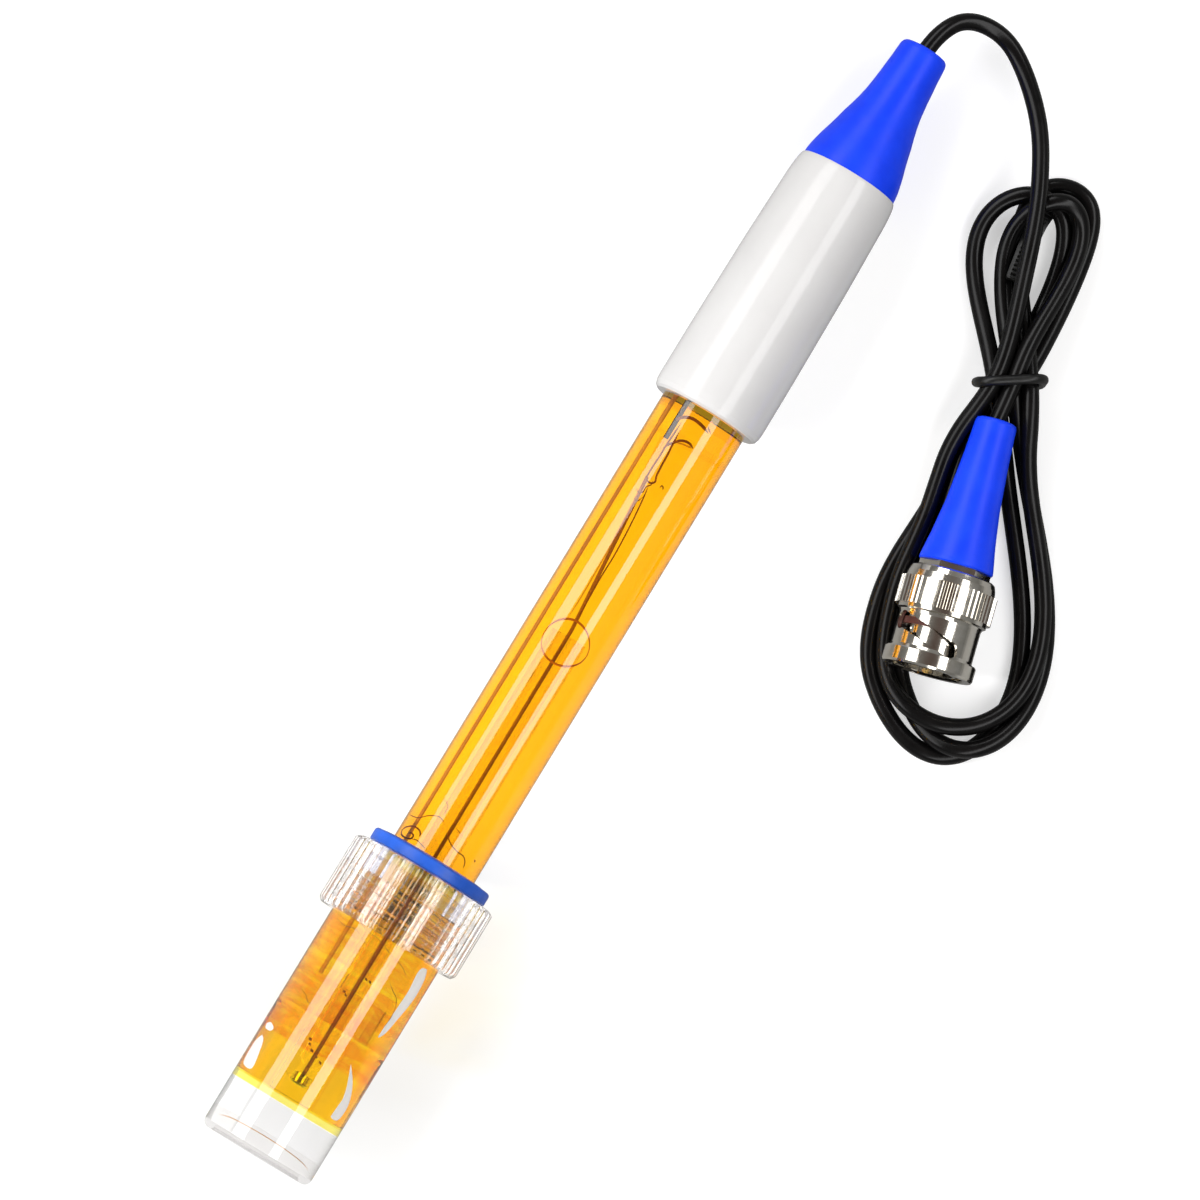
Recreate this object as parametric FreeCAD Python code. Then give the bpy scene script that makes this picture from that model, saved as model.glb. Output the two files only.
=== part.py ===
import FreeCAD, Part
import math
import os

os.makedirs("parts", exist_ok=True)

V = FreeCAD.Vector

# ---------------------------------------------------------------- driving dimensions (mm)
# The electrode lies on a flat surface, on the crown of the bottle nut and on the
# shoulder of the head sleeve.  Row frame: +X along the electrode towards its head,
# +Z up, z = 0 the surface, the origin below the middle of the electrode's box.
TILT = 1.614            # degrees, head lower than the sensing end
AXIS_Z = 11.3817        # height of the electrode's axis at its local x = 0
X_MID = 83.8585         # local x to row X

TUBE_R = 6.0            # 12 mm shaft
END_STEP = 0.17         # the ends under the gasket and in the head sleeve are this much slimmer
TUBE_BORE = 4.8
TIP_X = 8.9             # free end of the guard fingers
SEAL_X0, SEAL_X1 = 19.6, 24.6
TUBE_END = 140.0
SHAFT_X0, SHAFT_X1 = 44.5, 111.8   # the 12 mm gauge length
NOTCH_W = 5.0           # gap between two guard fingers
STEM_R, STEM_BORE = 1.7, 1.05
STEM_X0, STEM_X1 = 11.2, 78.0
WIRE_R = 0.175
REF_WIRE_R = 0.2
REF_Y = 3.2
GEL_TOP = 106.8
POT_X0, POT_X1 = 110.5, 138.0
SLEEVE_X0, SLEEVE_X1 = 111.9, 148.0
CAP_END = 167.6

BOTTLE_R, BOTTLE_BORE = 7.95, 6.8
BOTTLE_X0, BOTTLE_TOP = 0.3, 38.75
BOTTLE_FLOOR = 7.8
NUT_X0, NUT_X1 = 32.6, 42.55
NUT_R, NUT_ROOT_R, NUT_RIBS = 10.2, 9.78, 48
NUT_BORE = 8.75
GASKET_FLANGE_R = 8.55

CABLE_R = 1.15          # 2.3 mm cable

# plug: its rear end, its heading in plan and its slope
PLUG_X, PLUG_Y, PLUG_Z = 47.242, -32.837, 6.6
PLUG_YAW = 180.0 + 15.166
PLUG_RISE = 2.6
BOOT_L = 19.9
FERRULE_AF = 8.2
SHELL_R, SHELL_BORE = 4.02, 3.5
SHELL_X0, SHELL_X1 = 28.7, 33.8
COUPLING_X0, COUPLING_X1 = 20.8, 34.0
COUPLING_BORE = 4.85

# free cable between the cap and the hank: corners of the route
RUN_POINTS = [(82.67, 0.0, 6.69), (85.95, 0.0, 6.58), (90.45, -2.26, 5.1), (91.36, -7.69, 3.6),
              (88.53, -12.63, 3.6), (83.2, -17.95, 5.3), (76.64, -21.66, 7.2)]

# ---------------------------------------------------------------- helpers
ELECTRODE = FreeCAD.Placement(V(-X_MID, 0, AXIS_Z), FreeCAD.Rotation(V(0, 1, 0), TILT))
PLUG = FreeCAD.Placement(V(PLUG_X, PLUG_Y, PLUG_Z),
                         FreeCAD.Rotation(V(0, 0, 1), PLUG_YAW).multiply(FreeCAD.Rotation(V(0, 1, 0), -PLUG_RISE)))

nodes = {}


def put(name, shape, place=None):
    s = shape.copy()
    if place is not None:
        s.Placement = place.multiply(s.Placement)
    nodes[name] = s


def lathe(profile):
    """Closed profile of (x, radius) points turned about the X axis."""
    pts = [V(x, r, 0) for x, r in profile]
    pts.append(pts[0])
    face = Part.Face(Part.makePolygon(pts))
    return face.revolve(V(0, 0, 0), V(1, 0, 0), 360)


def rod(x0, x1, r, y=0.0, z=0.0):
    return Part.makeCylinder(r, x1 - x0, V(x0, y, z), V(1, 0, 0))


def ring(x0, x1, r, bore):
    return rod(x0, x1, r).cut(rod(x0 - 1, x1 + 1, bore))


def stick(a, b, r):
    a, b = V(*a), V(*b)
    return Part.makeCylinder(r, (b - a).Length, a, b - a)


def one(shape):
    """The single solid of a boolean result."""
    s = shape.removeSplitter() if hasattr(shape, "removeSplitter") else shape
    return s.Solids[0] if len(s.Solids) == 1 else s


def toothed(r_out, r_in, count, x0, x1, flat=0.42):
    """Prism along X with straight ribs round it."""
    pts = []
    for i in range(count):
        a = 2 * math.pi * i / count
        h = math.pi / count
        for da, r in ((-flat * h, r_out), (flat * h, r_out), ((1 - flat * 0.55) * h, r_in), ((1 + flat * 0.55) * h, r_in)):
            pts.append(V(x0, r * math.cos(a + da), r * math.sin(a + da)))
    pts.append(pts[0])
    return Part.Face(Part.makePolygon(pts)).extrude(V(x1 - x0, 0, 0))


def filleted_route(points):
    """Straight runs and tangent arcs through the corners, as one wire."""
    p = [V(*q) for q in points]
    edges, radii = [], []
    last = p[0]
    for i in range(1, len(p) - 1):
        u = p[i] - p[i - 1]
        v = p[i + 1] - p[i]
        lu, lv = u.Length, v.Length
        u.normalize()
        v.normalize()
        turn = u.getAngle(v)
        s = 0.45 * min(lu, lv)
        r = s / math.tan(turn / 2)
        a = p[i] - u * s
        b = p[i] + v * s
        n = v - u
        n.normalize()
        centre = p[i] + n * math.hypot(r, s)
        mid = centre - n * r
        edges.append(Part.makeLine(last, a))
        edges.append(Part.Arc(a, mid, b).toShape())
        radii.append(r)
        last = b
    edges.append(Part.makeLine(last, p[-1]))
    return Part.Wire(edges), radii


def tube_along(wire, r):
    start = wire.Edges[0].valueAt(wire.Edges[0].FirstParameter)
    tangent = wire.Edges[0].tangentAt(wire.Edges[0].FirstParameter)
    section = Part.Wire(Part.makeCircle(r, start, tangent))
    return wire.makePipeShell([section], True, False)


def plate(points, z0, z1, holes=()):
    def prism(pts, a, b):
        q = [V(x, y, a) for x, y in pts]
        q.append(q[0])
        return Part.Face(Part.makePolygon(q)).extrude(V(0, 0, b - a))
    s = prism(points, z0, z1)
    for h in holes:
        s = s.cut(prism(h, z0 - 1, z1 + 1))
    return s


# ---------------------------------------------------------------- shaft and sensing end
# the gauge length that a holder takes lies between the gasket and the head sleeve
tube = lathe([(TIP_X, TUBE_BORE), (TIP_X, TUBE_R - 0.35), (TIP_X + 0.15, TUBE_R - END_STEP), (SHAFT_X0, TUBE_R - END_STEP), (SHAFT_X0, TUBE_R),
              (SHAFT_X1, TUBE_R), (SHAFT_X1, TUBE_R - END_STEP), (TUBE_END, TUBE_R - END_STEP), (TUBE_END, TUBE_BORE)])
# three open notches leave three guard fingers; one notch faces up
for k in range(3):
    box = Part.makeBox(SEAL_X0 - TIP_X + 2 - 0.4, NOTCH_W, 8, V(TIP_X - 2, -NOTCH_W / 2, 3))
    end = Part.makeCylinder(NOTCH_W / 2, 8, V(SEAL_X0 - 0.4, 0, 3), V(0, 0, 1))
    cutter = box.fuse(end.common(Part.makeBox(1.6, NOTCH_W, 8, V(SEAL_X0 - 2.0, -NOTCH_W / 2, 3))))
    cutter.rotate(V(0, 0, 0), V(1, 0, 0), 120 * k)
    tube = tube.cut(cutter)
put("body_tube", one(tube), ELECTRODE)

stem = lathe([(STEM_X0, 0), (STEM_X0, 1.0), (STEM_X0 + 0.2, 1.35), (STEM_X0 + 0.6, 1.6), (STEM_X0 + 1.2, STEM_R),
              (STEM_X1, STEM_R), (STEM_X1, STEM_BORE), (14.2, STEM_BORE), (13.6, 0.5), (13.5, 0)])
tip_pocket = rod(STEM_X0 - 0.5, 12.4, 0.9)
wire_hole = rod(12.0, 15.0, WIRE_R)
put("glass_stem", one(stem.cut(tip_pocket).cut(wire_hole)), ELECTRODE)

platinum = lathe([(12.4, 0), (12.4, 0.9), (11.15, 0.9), (10.95, 0.78), (10.85, 0.5), (10.82, 0)])
put("platinum_tip", platinum, ELECTRODE)

lead_a, lead_b, lead_c = (12.4, 0, 0), (79.0, 0.15, 0), (101.0, 1.5, 0)
bare_wire = stick(lead_a, lead_b, WIRE_R).fuse(Part.makeSphere(WIRE_R, V(*lead_b))).fuse(stick(lead_b, lead_c, WIRE_R))
put("stem_lead_wire", one(bare_wire), ELECTRODE)

sheath_a, sheath_b = (101.0, 1.5, 0), (106.5, 1.9, 0)
sheath = stick(sheath_a, sheath_b, 0.5)
sheath = sheath.cut(bare_wire)
put("lead_sheath", one(sheath), ELECTRODE)

signal_pts = [(106.5, 1.9, 0), (112.0, 1.9, 0), (141.0, -0.3, 0)]
signal = stick(signal_pts[0], signal_pts[1], 0.25).fuse(Part.makeSphere(0.25, V(*signal_pts[1]))).fuse(
    stick(signal_pts[1], signal_pts[2], 0.25))
signal = one(signal.cut(sheath).cut(rod(141.0, 143, 3)))
put("signal_lead", signal, ELECTRODE)

ref_wire = rod(SEAL_X1, 108.0, REF_WIRE_R, REF_Y)
put("reference_wire", ref_wire, ELECTRODE)
ref_pts = [(108.0, REF_Y, 0), (112.0, REF_Y, 0), (141.0, 0.3, 0)]
ref_lead = stick(ref_pts[0], ref_pts[1], 0.25).fuse(Part.makeSphere(0.25, V(*ref_pts[1]))).fuse(
    stick(ref_pts[1], ref_pts[2], 0.25))
ref_lead = one(ref_lead.cut(rod(141.0, 143, 3)))
put("reference_lead", ref_lead, ELECTRODE)

# ring that closes the lower end of the gel space, with the porous junction pin in it
seal = rod(SEAL_X0, SEAL_X1, TUBE_BORE).cut(rod(SEAL_X0 - 1, SEAL_X1 + 1, STEM_R))
for x in (20.6, 22.0, 23.4):
    seal = seal.cut(ring(x, x + 0.35, TUBE_BORE + 0.5, TUBE_BORE - 0.35))
junction = rod(SEAL_X0, SEAL_X1, 0.5, -3.0, 0.9)
put("stem_seal", one(seal.cut(junction)), ELECTRODE)
put("reference_junction", junction, ELECTRODE)

gel = lathe([(SEAL_X1, STEM_R), (SEAL_X1, TUBE_BORE), (GEL_TOP + 0.9, TUBE_BORE), (GEL_TOP + 0.3, 4.0),
             (GEL_TOP, 2.6), (GEL_TOP, 0), (STEM_X1, 0), (STEM_X1, STEM_R)])
gel = gel.cut(ref_wire).cut(bare_wire).cut(sheath).cut(signal).cut(rod(SEAL_X1 - 1, SEAL_X1, 6))
put("gel_electrolyte", one(gel), ELECTRODE)

potting = rod(POT_X0, POT_X1, TUBE_BORE).cut(signal).cut(ref_lead)
put("upper_plug", one(potting), ELECTRODE)

# ---------------------------------------------------------------- head
sleeve = lathe([(SLEEVE_X0, TUBE_R - END_STEP), (SLEEVE_X0, 7.15), (112.2, 7.5), (112.8, 7.7), (113.7, 7.76), (121.5, 7.735), (126.75, 7.67),
                (134.6, 7.575), (139.8, 7.44), (142.4, 7.366), (145.0, 7.293), (146.4, 7.19), (147.2, 7.09), (147.7, 6.99),
                (SLEEVE_X1, 6.86), (SLEEVE_X1, 6.76), (146.6, 6.76), (146.6, 5.15), (TUBE_END, 5.15), (TUBE_END, TUBE_R - END_STEP)])
put("head_sleeve", sleeve, ELECTRODE)

cap = lathe([(141.2, 4.3), (141.2, 5.15), (146.6, 5.15), (146.6, 6.72), (148.15, 6.72), (148.9, 6.66), (149.6, 6.56),
             (150.27, 6.42), (151.5, 6.12), (152.9, 5.71), (154.2, 5.37), (155.5, 5.06), (156.8, 4.68), (158.1, 4.35),
             (159.4, 4.09), (160.8, 3.90), (162.1, 3.75), (163.4, 3.64), (164.8, 3.50), (166.0, 3.43), (166.9, 3.36),
             (167.3, 3.22), (167.52, 3.0), (CAP_END, 2.7), (CAP_END, 1.6), (167.3, 1.3), (166.8, 1.2), (157.0, 1.2), (157.0, 2.1),
             (151.0, 2.1), (150.0, 4.3)])
put("strain_cap", cap, ELECTRODE)
put("cable_crimp", ring(152.0, 156.0, 2.0, CABLE_R), ELECTRODE)
put("cable_core_end", rod(141.0, 148.0, 0.62), ELECTRODE)
put("cord_inner", rod(148.0, 166.6, CABLE_R), ELECTRODE)

# ---------------------------------------------------------------- storage bottle, liquid, gasket and nut
bottle = lathe([(3.55, 0), (3.7, 3.0), (3.4, 5.8), (2.6, 6.45), (1.0, 6.6), (BOTTLE_X0, 6.75), (BOTTLE_X0 + 0.1, 7.3), (BOTTLE_X0 + 0.6, 7.75),
                (BOTTLE_X0 + 1.3, BOTTLE_R), (BOTTLE_TOP, BOTTLE_R), (BOTTLE_TOP, BOTTLE_BORE), (9.2, BOTTLE_BORE),
                (8.3, 6.55), (BOTTLE_FLOOR, 5.9), (BOTTLE_FLOOR, 0)])
put("storage_bottle", bottle, ELECTRODE)
liquid = lathe([(BOTTLE_FLOOR, 0), (BOTTLE_FLOOR, 5.9), (8.3, 6.55), (9.2, BOTTLE_BORE), (37.9, BOTTLE_BORE), (37.9, 6.3),
                (8.65, 6.3), (8.65, 4.5), (19.2, 4.5), (19.2, 2.1), (8.65, 2.1), (8.65, 0)])
put("storage_solution", liquid, ELECTRODE)
gasket = lathe([(38.8, 6.05), (38.8, 8.0), (41.2, 8.0), (41.2, 7.1), (42.6, 7.1), (42.6, 8.35), (42.75, GASKET_FLANGE_R),
                (44.1, GASKET_FLANGE_R), (44.4, 8.3), (44.4, 6.05)])
put("bottle_gasket", gasket, ELECTRODE)

ribs = toothed(NUT_R, NUT_ROOT_R, NUT_RIBS, NUT_X0, NUT_X1)
envelope = lathe([(NUT_X0, 0), (NUT_X0, 9.75), (NUT_X0 + 0.45, 10.12), (NUT_X0 + 1.0, 10.3), (41.9, 10.3), (42.2, 10.1), (42.45, 9.75),
                  (NUT_X1, 9.4), (NUT_X1, 0)])
hollow = lathe([(NUT_X0 - 1, 0), (NUT_X0 - 1, NUT_BORE), (41.25, NUT_BORE), (41.25, 7.15), (NUT_X1 + 1, 7.15), (NUT_X1 + 1, 0)])
put("bottle_nut", one(ribs.common(envelope).cut(hollow)), ELECTRODE)

# ---------------------------------------------------------------- plug, along its own X axis from the boot's rear
boot = lathe([(0.0, CABLE_R + 0.05), (0.0, 2.3), (0.15, 2.6), (0.5, 2.75), (5.0, 3.02), (11.5, 3.6), (16.0, 4.28), (19.2, 4.9), (19.7, 4.95),
              (BOOT_L, 4.8), (BOOT_L, 3.3), (8.5, 3.3), (8.5, CABLE_R + 0.05)])
put("plug_boot", boot, PLUG)
put("plug_cable_end", rod(0.4, 9.5, CABLE_R), PLUG)
ferrule = lathe([(8.5, CABLE_R + 0.05), (8.5, 3.3), (BOOT_L, 3.3), (BOOT_L, 2.0), (9.5, 2.0), (9.5, CABLE_R + 0.05)])
put("plug_ferrule", ferrule, PLUG)

hexagon = [V(BOOT_L, FERRULE_AF / 2 / math.cos(math.pi / 6) * math.cos(math.radians(60 * i)),
             FERRULE_AF / 2 / math.cos(math.pi / 6) * math.sin(math.radians(60 * i))) for i in range(6)]
hexagon.append(hexagon[0])
hex_part = Part.Face(Part.makePolygon(hexagon)).extrude(V(COUPLING_X0 - 0.1 - BOOT_L, 0, 0))
core = lathe([(COUPLING_X0 - 0.1, 0), (COUPLING_X0 - 0.1, 4.1), (23.55, 4.1), (23.55, 3.65), (24.15, 3.65), (24.15, 4.1), (25.0, 4.1),
              (25.2, 4.5), (27.8, 4.5), (27.8, 4.22), (SHELL_X0, 4.22), (SHELL_X0, SHELL_R), (SHELL_X1 - 0.3, SHELL_R), (SHELL_X1, 3.8), (SHELL_X1, SHELL_BORE),
              (SHELL_X1 - 0.2, SHELL_BORE), (22.0, SHELL_BORE), (22.0, 0)])
rear_bore = rod(10.0, 23.0, 2.0)
body = hex_part.fuse(core).cut(rear_bore)
# four slits make the contact shell springy
for k in range(4):
    slit = Part.makeBox(4.2, 10, 0.35, V(SHELL_X1 - 4.2 + 0.1, 0, -0.175))
    slit.rotate(V(0, 0, 0), V(1, 0, 0), 45 + 90 * k)
    body = body.cut(slit)
put("plug_body", one(body), PLUG)
insulator = lathe([(22.0, 0.68), (22.0, SHELL_BORE), (28.8, SHELL_BORE), (28.8, 2.38), (32.4, 2.38), (32.4, 1.15), (30.5, 1.15), (30.5, 0.68)])
put("plug_insulator", insulator, PLUG)
pin = lathe([(14.0, 0), (14.0, 0.68), (32.2, 0.68), (32.9, 0.35), (33.0, 0)])
put("plug_centre_pin", pin, PLUG)
put("plug_gasket", ring(27.8, SHELL_X0, 4.7, 4.22), PLUG)
put("plug_retaining_ring", ring(23.55, 24.15, 4.7, 3.65), PLUG)
put("plug_wave_washer", ring(22.45, 23.5, 4.75, 4.15), PLUG)
put("plug_thrust_washer", ring(21.85, 22.35, 4.8, 4.15), PLUG)

shell = lathe([(COUPLING_X0, 4.15), (COUPLING_X0, 5.35), (21.0, 5.6), (21.7, 5.85), (22.6, 6.0), (22.6, 6.42), (26.2, 6.42), (26.2, 5.95),
               (26.7, 5.95), (26.9, 5.6), (27.3, 5.45), (31.5, 5.45), (31.9, 5.6), (31.9, 6.05), (32.05, 6.13), (33.7, 6.13), (COUPLING_X1, 5.95),
               (COUPLING_X1, COUPLING_BORE + 0.2), (COUPLING_X1 - 0.2, COUPLING_BORE), (21.8, COUPLING_BORE), (21.8, 4.15)])
knurl = toothed(6.42, 6.22, 52, 22.5, 26.3)
keep = knurl.common(ring(22.6, 26.2, 7.5, 4.9)).fuse(shell.common(Part.makeBox(22.6 - 20, 16, 16, V(20, -8, -8)))).fuse(
    shell.common(Part.makeBox(10, 16, 16, V(26.2, -8, -8)))).fuse(shell.common(ring(22.6, 26.2, 5.6, COUPLING_BORE - 0.5)))
coupling = keep
# two bayonet tracks: an inner groove from the front, a sloping slot through the waist, a detent hole
for half in (0, 180):
    groove = Part.makeBox(3.3, 2.3, 1.2, V(COUPLING_X1 - 3.1, -1.15, 4.3))
    groove = groove.common(rod(20, 40, 5.5))
    track = groove
    steps = 12
    for i in range(steps + 1):
        t = i / steps
        c = Part.makeCylinder(1.08, 3.6, V(COUPLING_X1 - 3.1 - 2.6 * t, 0, 4.3), V(0, 0, 1))
        c.rotate(V(0, 0, 0), V(1, 0, 0), 84 * t)
        track = track.fuse(c)
    hole = Part.makeCylinder(1.2, 3.6, V(COUPLING_X1 - 5.5, 0, 4.3), V(0, 0, 1))
    hole.rotate(V(0, 0, 0), V(1, 0, 0), 86)
    track = track.fuse(hole)
    track.rotate(V(0, 0, 0), V(1, 0, 0), half - 20)
    coupling = coupling.cut(track)
put("plug_coupling", one(coupling), PLUG)

# ---------------------------------------------------------------- free cable
route, radii = filleted_route(RUN_POINTS)
run = tube_along(route, CABLE_R)
print("cord_run length %.2f mm, arc radii %s mm" % (route.Length, ", ".join("%.2f" % r for r in radii)))
print("cord_run volume %.1f mm3, section x length %.1f mm3" % (run.Volume, math.pi * CABLE_R ** 2 * route.Length))

# ---------------------------------------------------------------- hank: figure 8, upper loops, waist in the band, long lower loops
UPPER = [(76.31, -22.4), (75.39, -20.24), (73.53, -18.4), (71.15, -17.39), (68.63, -17.22), (66.3, -17.67),
         (64.29, -18.46), (62.58, -19.38), (61.07, -20.36), (59.66, -21.39), (58.25, -22.51), (56.7, -23.8), (54.83, -25.39),
         (52.6, -27.3), (50.9, -28.7), (54.5, -34.8), (57.6, -34.7), (61.61, -34.4), (65.89, -34.0), (70.18, -33.07),
         (74.7, -31.81), (77.73, -30.25), (78.7, -27.6), (78.1, -24.8)]
UPPER_HOLE_A = [(70.94, -21.8), (70.3, -20.3), (67.54, -19.9), (64.47, -20.95), (61.0, -23.3), (61.3, -24.6), (65.0, -23.9), (68.5, -22.9)]
UPPER_HOLE_C = [(73.6, -27.4), (72.6, -26.0), (69.8, -26.6), (66.6, -28.2), (66.2, -29.6), (69.0, -29.8), (72.2, -29.0)]
LOWER = [(51.0, -28.6), (48.5, -28.2), (44.21, -28.42), (38.71, -28.88), (31.77, -30.03), (27.61, -30.12), (22.0, -30.28),
         (17.91, -31.05), (13.4, -32.86), (9.03, -36.4), (7.15, -38.89), (5.66, -41.83), (4.84, -45.14), (5.07, -48.55),
         (6.62, -51.58), (9.32, -53.77), (11.97, -55.62), (15.02, -56.61), (18.1, -56.86), (20.97, -56.55), (25.75, -55.04),
         (29.42, -53.13), (33.94, -50.02), (38.66, -46.03), (43.8, -41.6), (49.4, -38.0), (54.4, -34.8)]
LOWER_HOLE = [(33.5, -43.2), (37.32, -39.6), (40.4, -35.0), (33.74, -34.6), (26.39, -35.3), (21.84, -36.2),
              (17.58, -37.9), (12.9, -41.2), (11.2, -43.96), (11.6, -47.0), (13.4, -49.8), (15.9, -51.2), (19.61, -51.0),
              (23.99, -49.2), (28.93, -46.5)]
HANK_FLOOR, HANK_TOP = 0.05, 4.75

# band: a ring of round section about the waist, its plane square to the bundle
BAND_X, BAND_Y, BAND_Z = 52.69, -31.73, 4.55
BAND_IN_W, BAND_IN_H, BAND_T = 7.1, 6.36, 1.36
BAND_YAW = -58.7        # the band's wide direction in plan, degrees from +X


def rounded_rect(w, h, r, x):
    return Part.makeBox(1, w - 2 * r, h, V(x, -w / 2 + r, -h / 2)).fuse(Part.makeBox(1, w, h - 2 * r, V(x, -w / 2, -h / 2 + r))).fuse(
        [Part.makeCylinder(r, 1, V(x, sy * (w / 2 - r), sz * (h / 2 - r)), V(1, 0, 0)) for sy in (-1, 1) for sz in (-1, 1)]).removeSplitter()


def rr_wire(w, h, r, x):
    k = r * (1 - math.sqrt(0.5))
    e = []
    y, z = w / 2, h / 2
    e.append(Part.makeLine(V(x, -y + r, z), V(x, y - r, z)))
    e.append(Part.Arc(V(x, y - r, z), V(x, y - k, z - k), V(x, y, z - r)).toShape())
    e.append(Part.makeLine(V(x, y, z - r), V(x, y, -z + r)))
    e.append(Part.Arc(V(x, y, -z + r), V(x, y - k, -z + k), V(x, y - r, -z)).toShape())
    e.append(Part.makeLine(V(x, y - r, -z), V(x, -y + r, -z)))
    e.append(Part.Arc(V(x, -y + r, -z), V(x, -y + k, -z + k), V(x, -y, -z + r)).toShape())
    e.append(Part.makeLine(V(x, -y, -z + r), V(x, -y, z - r)))
    e.append(Part.Arc(V(x, -y, z - r), V(x, -y + k, z - k), V(x, -y + r, z)).toShape())
    return Part.Wire(e)


BAND = FreeCAD.Placement(V(BAND_X, BAND_Y, BAND_Z), FreeCAD.Rotation(V(0, 0, 1), BAND_YAW - 90))
outer = Part.Face(rr_wire(BAND_IN_W + 2 * BAND_T, BAND_IN_H + 2 * BAND_T, 2.6, -0.68)).extrude(V(1.36, 0, 0))
inner = Part.Face(rr_wire(BAND_IN_W, BAND_IN_H, 1.3, -2)).extrude(V(4, 0, 0))
band = outer.cut(inner)
try:
    long_edges = [e for e in band.Edges if abs(e.BoundBox.XLength) < 1e-6]
    band = band.makeFillet(0.55, long_edges)
except Exception:
    pass
put("hank_band", one(band), BAND)
waist = Part.Face(rr_wire(BAND_IN_W, BAND_IN_H, 1.3, -3.0)).extrude(V(4.6, 0, 0))
waist.Placement = BAND
band_world = nodes["hank_band"]
slot = Part.makeBox(2.0, 16, 16, V(-1.0, -8, -8))
slot.Placement = BAND

# serrated tail of the tie, lying in the upper loops beside the cable
TIE_A = (64.0, -25.45, 4.65)
TIE_B = (75.2, -24.3, 1.9)
TIE_W, TIE_T = 2.5, 1.0


def strip(a, b, w, t, extra=0.0, up=0.0):
    a, b = V(*a), V(*b)
    d = b - a
    length = d.Length
    s = Part.makeBox(length + 2 * extra, w + 2 * extra, t + extra + up, V(-extra, -w / 2 - extra, -t / 2 - extra))
    yaw = math.degrees(math.atan2(d.y, d.x))
    pitch = -math.degrees(math.asin(d.z / length))
    s.Placement = FreeCAD.Placement(a, FreeCAD.Rotation(V(0, 0, 1), yaw).multiply(FreeCAD.Rotation(V(0, 1, 0), pitch)))
    return s


tie = strip(TIE_A, TIE_B, TIE_W, TIE_T)
put("tie_strip", tie)

# clearance round the whole plug, over the coupling's travel
plug_room = lathe([(-0.2, 0), (-0.2, 3.1), (11.5, 3.95), (19.7, 5.3), (20.4, 5.3), (20.4, 6.4), (22.2, 7.05), (27.4, 7.05), (27.4, 6.85), (35.2, 6.85),
                   (35.2, 0)])
plug_room.Placement = PLUG
upper = plate(UPPER, HANK_FLOOR, HANK_TOP, (UPPER_HOLE_A, UPPER_HOLE_C))
lower = plate(LOWER, HANK_FLOOR, HANK_TOP, (LOWER_HOLE,))
hank = upper.cut(slot).fuse(lower.cut(slot)).fuse(waist).cut(band_world)
hank = hank.cut(plug_room).cut(strip(TIE_A, TIE_B, TIE_W, TIE_T, 0.05, 6.0))
# the incoming cable lies on top of the upper loops, over the tie's tail
RIDGE = [(77.0, -20.35), (71.1, -22.7), (64.6, -25.05), (58.3, -27.2), (54.2, -28.5), (54.9, -30.9), (59.05, -29.5), (65.4, -27.3),
         (72.0, -24.95), (77.9, -22.5)]
ridge = plate(RIDGE, HANK_TOP - 0.6, 8.35).cut(band_world).cut(plug_room).cut(strip(TIE_A, TIE_B, TIE_W, TIE_T, 0.05))
hank = hank.fuse(ridge)

# short cable from the band to the boot
TAIL_START = (51.7, -32.1, 6.5)
put("cord_tail", stick(TAIL_START, (PLUG_X, PLUG_Y, PLUG_Z), CABLE_R))
hank = hank.cut(nodes["cord_tail"])
best = max(hank.Solids, key=lambda s: s.Volume)
print("hank solids", [round(s.Volume, 2) for s in hank.Solids])
put("cord_hank", best)
run = run.cut(best).cut(tie)
run = max(run.Solids, key=lambda s: s.Volume)
put("cord_run", run)

# ---------------------------------------------------------------- write
total = FreeCAD.BoundBox()
for name, shape in sorted(nodes.items()):
    if not shape.isValid():
        print("INVALID", name)
    if len(shape.Solids) != 1:
        print("SOLIDS", name, len(shape.Solids))
    shape.exportStep("parts/%s.step" % name)
    if not name.startswith(("cord", "plug", "hank", "tie")):
        total.add(shape.BoundBox)
print("electrode box X %.3f %.3f  Y %.3f %.3f  Z %.3f %.3f" % (total.XMin, total.XMax, total.YMin, total.YMax, total.ZMin, total.ZMax))
print(len(nodes), "nodes")
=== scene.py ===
import math

import bmesh
import bpy
from mathutils import Matrix, Vector


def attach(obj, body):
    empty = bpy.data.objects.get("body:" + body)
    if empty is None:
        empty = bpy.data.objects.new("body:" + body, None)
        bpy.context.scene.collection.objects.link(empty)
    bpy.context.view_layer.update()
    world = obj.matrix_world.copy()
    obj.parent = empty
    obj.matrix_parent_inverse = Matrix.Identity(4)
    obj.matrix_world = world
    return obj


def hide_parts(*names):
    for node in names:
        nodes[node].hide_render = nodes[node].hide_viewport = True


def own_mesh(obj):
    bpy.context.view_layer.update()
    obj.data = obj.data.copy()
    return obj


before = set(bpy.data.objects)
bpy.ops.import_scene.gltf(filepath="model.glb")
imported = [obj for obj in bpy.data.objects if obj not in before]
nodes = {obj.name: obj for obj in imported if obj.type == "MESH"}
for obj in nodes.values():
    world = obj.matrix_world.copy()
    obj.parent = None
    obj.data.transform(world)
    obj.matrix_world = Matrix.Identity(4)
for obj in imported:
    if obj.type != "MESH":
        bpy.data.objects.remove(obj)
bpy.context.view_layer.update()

scene = bpy.context.scene
MM = 0.001

# where the electrode's and the plug's own axes lie, in mm
ELECTRODE = Matrix.Translation((-83.8585, 0.0, 11.3817)) @ Matrix.Rotation(math.radians(1.614), 4, "Y")
PLUG = (Matrix.Translation((47.242, -32.837, 6.6)) @ Matrix.Rotation(math.radians(195.166), 4, "Z")
        @ Matrix.Rotation(math.radians(-2.6), 4, "Y"))
WORLD = Matrix.Identity(4)

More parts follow.
